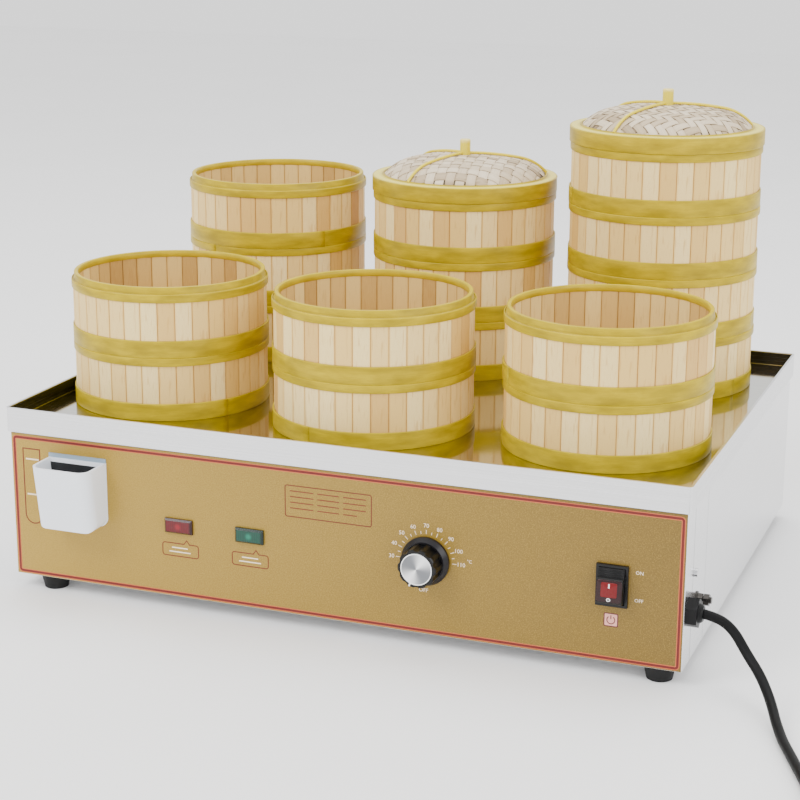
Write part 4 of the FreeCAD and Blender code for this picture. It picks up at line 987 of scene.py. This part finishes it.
class STEAMER_OT_front_prints(bpy.types.Operator):
    """Print the border, scale, words and signs on the front film"""
    bl_idname = "steamer.front_prints"
    bl_label = "Front prints"

    def execute(self, context):
        at = CASE_MIDDLE + (0, -HALF_DEPTH * MM, 0)
        red = print_ink("Red ink", light(98, 6, 0), light(128, 26, 2))
        glow = print_ink("Orange ink", light(196, 96, 50))
        pink = print_ink("Pink ink", light(226, 160, 146))
        pale = print_ink("Pale ink", light(246, 226, 196))
        plum = print_ink("Plum ink", light(84, 14, 22))

        def printed(name, shapes, ink):
            piece(name, shapes, ink, "casing", at, smooth=False)

        border = round_box(*BORDER)
        printed("border_glow", [ribbon(border, 3.8, True, (0, 0), PRINT_HIGH / 2)], glow)
        lines = [ribbon(border, 2.2, True, (0.0, 0.3))]
        low, high, tip = CALLOUT_UP
        for x0, x1, peak in CALLOUTS:
            box = round_box(x0, x1, low, high, 2.5)
            pointer = [(peak + 3.0, high), (peak, tip), (peak - 3.0, high)]
            lines.append(ribbon(box[:7] + pointer + box[7:], 0.9, True, (0.2, 0.2)))
        lines.append(ribbon(round_box(*NOTE_BOX), 0.9, True, (0.1, 0.1)))
        left, right, top, foot = GAUGE
        bend = arc((left + right) / 2, foot, 180, 360, 13, (right - left) / 2)
        lines.append(ribbon([(right, top), (left, top)] + bend, 1.1, True, (0.2, 0.2)))
        for row in range(4):
            z = 137.5 - row * 5.6
            for start, end in ((-38.0, -14.0), (-10.0, 12.0), (16.0, 39.0 - 9.0 * (row == 3))):
                lines.append(ribbon([(start, z), (end, z)], 0.9, False, (0.35, 0.35)))
        printed("front_red_lines", lines, red)
        marks = []
        for step in range(17):
            angle = math.radians(180 - step * 11.25)
            x, z = math.cos(angle), math.sin(angle)
            far = 29.6 if step % 2 == 0 else 28.2
            ends = [(KNOB_AT[0] + r * x, KNOB_AT[1] + r * z) for r in (25.6, far)]
            marks.append(ribbon(ends, 0.55, False))
        for z in (136.0, 99.5):
            marks.append(ribbon([(-324.0, z), (-309.5, z)], 1.5, False))
        for x0, x1 in ((-169.0, -142.0), (-94.0, -67.0)):
            for z, cut in ((64.6, 5.0), (60.4, 2.0)):
                marks.append(ribbon([(x0 + cut, z), (x1 - cut, z)], 1.1, False))
        printed("front_pale_marks", marks, pale)
        words = [
            ("ON", 299.0, 102.0, 4.6), ("OFF", 299.2, 75.9, 4.6),
            ("OFF", KNOB_AT[0] - 2.3, 57.3, 5.2), ("°C", 140.6, 91.0, 4.4),
        ]
        for step, spot in enumerate(arc(*KNOB_AT, 180, 0, 9, 34.0, 33.5)):
            words.append((str(30 + 10 * step), *spot, 5.6))
        places, faces = lettering(words)
        mesh = bpy.data.meshes.new("front_words")
        mesh.from_pydata(places * MM + at, [], faces)
        shown = added("front_words", mesh)
        mesh.materials.append(pale)
        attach(shown, "casing")
        box = round_box(*POWER_BOX)
        x, z = POWER_AT
        printed("power_sign_ground", [flat_patch(box, PRINT_HIGH * 0.6)], pink)
        sign = [ribbon(arc(x, z, 125, 415, 22, 3.6), 0.9, False)]
        sign += [ribbon([(x, z + 0.8), (x, z + 4.5)], 0.9, False), ribbon(box, 1.0)]
        printed("power_sign", sign, plum)
        return {"FINISHED"}


# Controls on the front
def knob_finish(name):
    """Black plastic with a grey skirt, and a spun metal cap with turning marks, a painted bow-tie
    highlight and a painted highlight ring at its edge.
    """
    finish = Finish(name, Specular_IOR_Level=0.3)
    x, y, z = finish.axes(finish.place())
    dx = x - float(KNOB_CENTRE[0])
    dz = z - float(KNOB_CENTRE[2])
    radius = (dx * dx + dz * dz).math("SQRT")
    cap = radius.below(KNOB_CAP_R * MM) * y.below(float(KNOB_LOW[1]) + 0.75 * MM)
    skirt = y.above(float(KNOB_HIGH[1]) - KNOB_SKIRT * MM)
    angle = dz.math("ARCTAN2", dx)
    # Painted highlight: a bow-tie of bright colour fanning out by angle across the cap, the same from
    # every side.
    painted_bowtie_highlight = ((angle * 2.0 - 1.9).math("COSINE") * 0.5 + 0.5).math("POWER", 2.2)
    rings = (radius * 9000.0).math("SINE")
    fine = finish.noise(finish.place(), 900.0, 2.0)
    metal = finish.mix(painted_bowtie_highlight, light(118, 120, 124), light(250, 250, 250))
    metal = finish.layered(
        metal,
        ((rings * 0.5 + 0.5) * 0.18, light(150, 152, 156)),
        # Painted highlight: a white ring at the cap's edge.
        (radius.above(KNOB_HIGHLIGHT_RING_R * MM), light(252, 252, 252)),
    )
    plastic = finish.mix(skirt, light(6, 6, 7), light(22, 20, 23))
    base = finish.mix(cap, plastic, metal)
    roughness = fine * 0.12 + 0.24 + cap * 0.06
    return finish.done(base, roughness, rings * cap + fine * 0.4, 0.00003, Metallic=cap * 0.85)


def lens_finish(name):
    """Clear coloured lenses: the left one red, the right one green, darker at the edge."""
    finish = Finish(name, Coat_Weight=0.25, Coat_Roughness=0.08, Specular_IOR_Level=0.3)
    x, _, z = finish.axes(finish.place())
    middle = float(LAMPS_LOW[0] + LAMPS_HIGH[0]) / 2
    green = x.above(middle)
    reach = float(LAMPS_HIGH[0] - LAMPS_LOW[0]) / 2 - LENS_IN * MM
    dx = ((x - middle).math("ABSOLUTE") - reach).math("ABSOLUTE")
    dz = (z - float(LAMPS_LOW[2] + LAMPS_HIGH[2]) / 2).math("ABSOLUTE")
    rim = dx.above(LENS_EDGE[0] * MM, 0.002).math("MAXIMUM", dz.above(LENS_EDGE[1] * MM, 0.0015))
    glow = (dx * dx + dz * dz).math("SQRT").below(2.6 * MM, 0.004)
    prism = (x * 2600.0).math("SINE") * 0.5 + 0.5
    colour = finish.mix(green, light(96, 0, 10), light(0, 66, 50))
    bright = finish.mix(green, light(140, 4, 24), light(10, 120, 94))
    dark = finish.mix(green, light(40, 0, 5), light(0, 30, 24))
    base = finish.layered(colour, (prism * 0.35, dark), (glow * 0.8, bright), (rim, dark))
    return finish.done(base, prism * 0.1 + 0.12, prism, 0.00006)


def on_rocker(x, up, out):
    """A place on the rocker, in millimetres from its pivot, tilted as it rests."""
    y, z = rotated(out, up, math.radians(ROCKER_TILT))
    return np.stack(np.broadcast_arrays(x, y, z), -1)


def rocker_patch(line, lift):
    """A raised patch on the rocker's lower face: its outline is lifted along the face's normal."""
    line = np.asarray(line, float)
    rows = [(line, -0.3), (line, lift - 0.15), (shrunk(line, 0.93), lift), (shrunk(line, 0.01), lift)]
    up, out = FACE_FOOT
    points = np.stack([
        on_rocker(*flat.T, out - (flat[:, 1] - up) * FACE_SLOPE - high) for flat, high in rows
    ])
    return grid(points[::-1], closed=True)


class STEAMER_OT_controls(bpy.types.Operator):
    """Finish the knob, the lamps, the switch and the filler cup"""
    bl_idname = "steamer.controls"
    bl_label = "Front controls"

    def execute(self, context):
        black = moulded("Switch black", light(9, 9, 10), 0.32)
        white = moulded("Marking white", light(238, 238, 238), 0.5)
        dress(knob_finish("Knob and spun cap"), "control_knob")
        dress(lens_finish("Lamp lenses"), "indicator_lamps")
        dress(black, "switch_body", "switch_rocker")
        dress(cup_finish("Cup plastic"), "water_filler_cup")
        turn = math.radians(247.5)
        across = np.array([-0.7, -0.7, 0.7, 0.7])[:, None]
        along = np.array([15.0, 17.7, 18.75, 18.9])[None, :]
        level = np.array([0.0, 0.22, 0.22, 0.0])[:, None] + np.array([0.25, 0.2, -0.9, -6.0])
        x, z = rotated(along, across, turn)
        pointer = grid(np.stack([x, -level + 0 * x, z], -1)[::-1])
        front = np.array([KNOB_CENTRE[0], KNOB_LOW[1] + 0.7 * MM, KNOB_CENTRE[2]])
        piece("knob_pointer", [pointer], white, "knob", front, smooth=False)
        rest = (SWITCH_LOW + SWITCH_HIGH) / 2
        rest[1] = CASE_MIDDLE[1] - (HALF_DEPTH + 0.5) * MM
        maroon = moulded("Rocker maroon", light(34, 1, 4), 0.25, 0.1)
        glass = moulded("Rocker window", light(104, 0, 4), 0.18, 0.1)

        def on_switch(name, grids, material, smooth=True):
            piece(name, grids, material, "rocker", rest, smooth=smooth)

        block = round_box(-11.6, 11.6, -14.2, 5.8, 2.2)
        window = round_box(-7.4, 7.4, -9.8, 3.6, 1.6)
        on_switch("rocker_block", [rocker_patch(block, 0.35)], maroon)
        on_switch("rocker_window", [rocker_patch(window, 0.75)], glass)
        bar = rocker_patch([(0.65, 2.4), (-0.65, 2.4), (-0.65, -1.4), (0.65, -1.4)], 0.95)
        circle = rocker_patch(arc(0.0, -12.0, 0, 337.5, 16, 1.9, 1.6), 0.55)
        hole = rocker_patch(arc(0.0, -12.0, 0, 337.5, 16, 1.15, 0.9), 0.65)
        on_switch("rocker_marks", [bar, circle], white, False)
        on_switch("rocker_mark_inside", [hole], maroon)
        ribs = []
        for up in (8.8, 10.6, 12.4, 14.0):
            angle = np.linspace(0, np.pi, 7)[:, None]
            x = np.array([-11.2, -11.0, 11.0, 11.2])[None, :]
            size = np.array([0.05, 0.5, 0.5, 0.05])[None, :]
            out = -8.6 + 0.053 * (up - 7.2) - size * np.sin(angle)
            ribs.append(grid(on_rocker(x, up + size * np.cos(angle), out)[::-1]))
        on_switch("rocker_ribs", ribs, black)
        return {"FINISHED"}


# Stage and camera
class STEAMER_OT_stage(bpy.types.Operator):
    """Set the floor, the soft lights and the camera"""
    bl_idname = "steamer.stage"
    bl_label = "Stage and camera"

    def execute(self, context):
        scene = context.scene
        reach, low = 6.0, -0.5 * MM
        square = (-reach, -reach), (reach, -reach), (reach, reach), (-reach, reach)
        corners = [(x, y, low) for x, y in square]
        mesh = bpy.data.meshes.new("floor")
        mesh.from_pydata(corners, [], [(0, 1, 2, 3)])
        mesh.materials.append(paper_backdrop("Backdrop paper"))
        floor = added("floor", mesh)
        world = bpy.data.worlds.new("Soft room")
        world.use_nodes = True
        sky = world.node_tree.nodes["Background"]
        sky.inputs["Color"].default_value = (1, 1, 1, 1)
        sky.inputs["Strength"].default_value = 1.5
        scene.world = world
        for name, at, aim, size, power in (
            ("key_light", (-1.6, -2.2, 2.6), (0, 0, 0.15), 1.6, 78.0),
            ("fill_light", (2.6, -1.2, 1.6), (0, 0, 0.15), 1.8, 40.0),
            ("top_light", (0.0, 0.6, 3.0), (0, 0, 0.2), 2.0, 50.0),
        ):
            lamp = bpy.data.lights.new(name, "AREA")
            lamp.size = size
            lamp.energy = power
            holder = added(name, lamp)
            holder.location = at
            holder.rotation_euler = (Vector(aim) - Vector(at)).to_track_quat("-Z", "Y").to_euler()
        a, e, roll = (math.radians(v) for v in (CAMERA_AZIMUTH, CAMERA_ELEVATION, CAMERA_ROLL))
        back = Vector((math.sin(a) * math.cos(e), -math.cos(a) * math.cos(e), math.sin(e)))
        level = Vector((math.cos(a), math.sin(a), 0))
        upright = back.cross(level)
        above, right = rotated(upright, level, roll)
        data = bpy.data.cameras.new("photo_camera")
        data.lens = CAMERA_LENS
        data.sensor_width = 36.0
        data.clip_start, data.clip_end = 0.1, 30.0
        camera = added("photo_camera", data)
        turn = Matrix((right, above, back)).transposed().to_4x4()
        camera.matrix_world = Matrix.Translation(Vector(CAMERA_AT) * MM + Vector(CASE_MIDDLE)) @ turn
        scene.camera = camera
        return {"FINISHED"}


# Finishes of the CAD pieces that show as they are
def dress(finish, *nodes):
    for node in nodes:
        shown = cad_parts[node]
        shown.data.materials.clear()
        shown.data.materials.append(finish)


class STEAMER_OT_casing(bpy.types.Operator):
    """Finish the sheet metal, the film on the front, the tray and the feet"""
    bl_idname = "steamer.casing"
    bl_label = "Casing and tray"

    def execute(self, context):
        seam = float(CASE_LOW[1])
        steel = sheet_steel("Brushed casing steel", (6.0, 6.0, 900.0), 0.22, 0.8, seam)
        dress(steel, "rear_casing", "front_panel", "bottom_pan")
        dress(tray_finish("Tray steel"), "top_tray")
        dress(printed_film("Gold film"), "front_overlay")
        dress(moulded("Foot rubber", light(9, 9, 10), 0.6, 0.0, 700.0, 0.00005), "rubber_feet")
        return {"FINISHED"}


class STEAMER_OT_fittings(bpy.types.Operator):
    """Finish the gland, stud, screws, drain valve and plug"""
    bl_idname = "steamer.fittings"
    bl_label = "Side and back fittings"

    def execute(self, context):
        black = moulded("Gland black", light(4, 4, 5), 0.4, shine=0.2)
        bright = plain_metal("Bright steel", (0.78, 0.78, 0.79, 1), 0.2)
        dress(black, "cable_gland", "thermostat", "power_plug")
        dress(bright, "casing_screws", "drain_lever", "heating_element")
        dress(plain_metal("Dark plated steel", (0.07, 0.065, 0.06, 1), 0.3), "earth_stud")
        dress(plain_metal("Brass", light(196, 160, 90), 0.3), "drain_valve")
        return {"FINISHED"}


class STEAMER_OT_inner_works(bpy.types.Operator):
    """Finish the tank under the tray"""
    bl_idname = "steamer.inner_works"
    bl_label = "Inner works"

    def execute(self, context):
        dress(sheet_steel("Tank steel", (20.0, 20.0, 300.0), 0.35, 0.6), "water_tank")
        return {"FINISHED"}


class STEAMER_PT_panel(bpy.types.Panel):
    """Shows the steamer's colours and sizes, and a button for each build step."""
    bl_label = "Steamer"
    bl_idname = "STEAMER_PT_panel"
    bl_space_type = "VIEW_3D"
    bl_region_type = "UI"
    bl_category = "Steamer"

    def draw(self, context):
        layout = self.layout
        for group in (colours(), sizes()):
            for key in group.bl_rna.properties.keys():
                if key not in ("rna_type", "name"):
                    layout.prop(group, key)
        for operator in BUILD_ORDER:
            layout.operator(operator.bl_idname)


BUILD_ORDER = (
    STEAMER_OT_stage,
    STEAMER_OT_mains_lead,
    STEAMER_OT_casing,
    STEAMER_OT_front_prints,
    STEAMER_OT_controls,
    STEAMER_OT_fittings,
    STEAMER_OT_inner_works,
    STEAMER_OT_baskets,
    STEAMER_OT_lids,
)
CLASSES = (SteamerColours, SteamerSizes) + BUILD_ORDER + (STEAMER_PT_panel,)


def register():
    for cls in CLASSES:
        bpy.utils.register_class(cls)
    bpy.types.Scene.steamer_colours = bpy.props.PointerProperty(type=SteamerColours)
    bpy.types.Scene.steamer_sizes = bpy.props.PointerProperty(type=SteamerSizes)


def unregister():
    del bpy.types.Scene.steamer_sizes
    del bpy.types.Scene.steamer_colours
    for cls in reversed(CLASSES):
        bpy.utils.unregister_class(cls)


def main():
    register()
    for operator in BUILD_ORDER:
        group, name = operator.bl_idname.split(".")
        getattr(getattr(bpy.ops, group), name)()


if __name__ == "__main__":
    main()
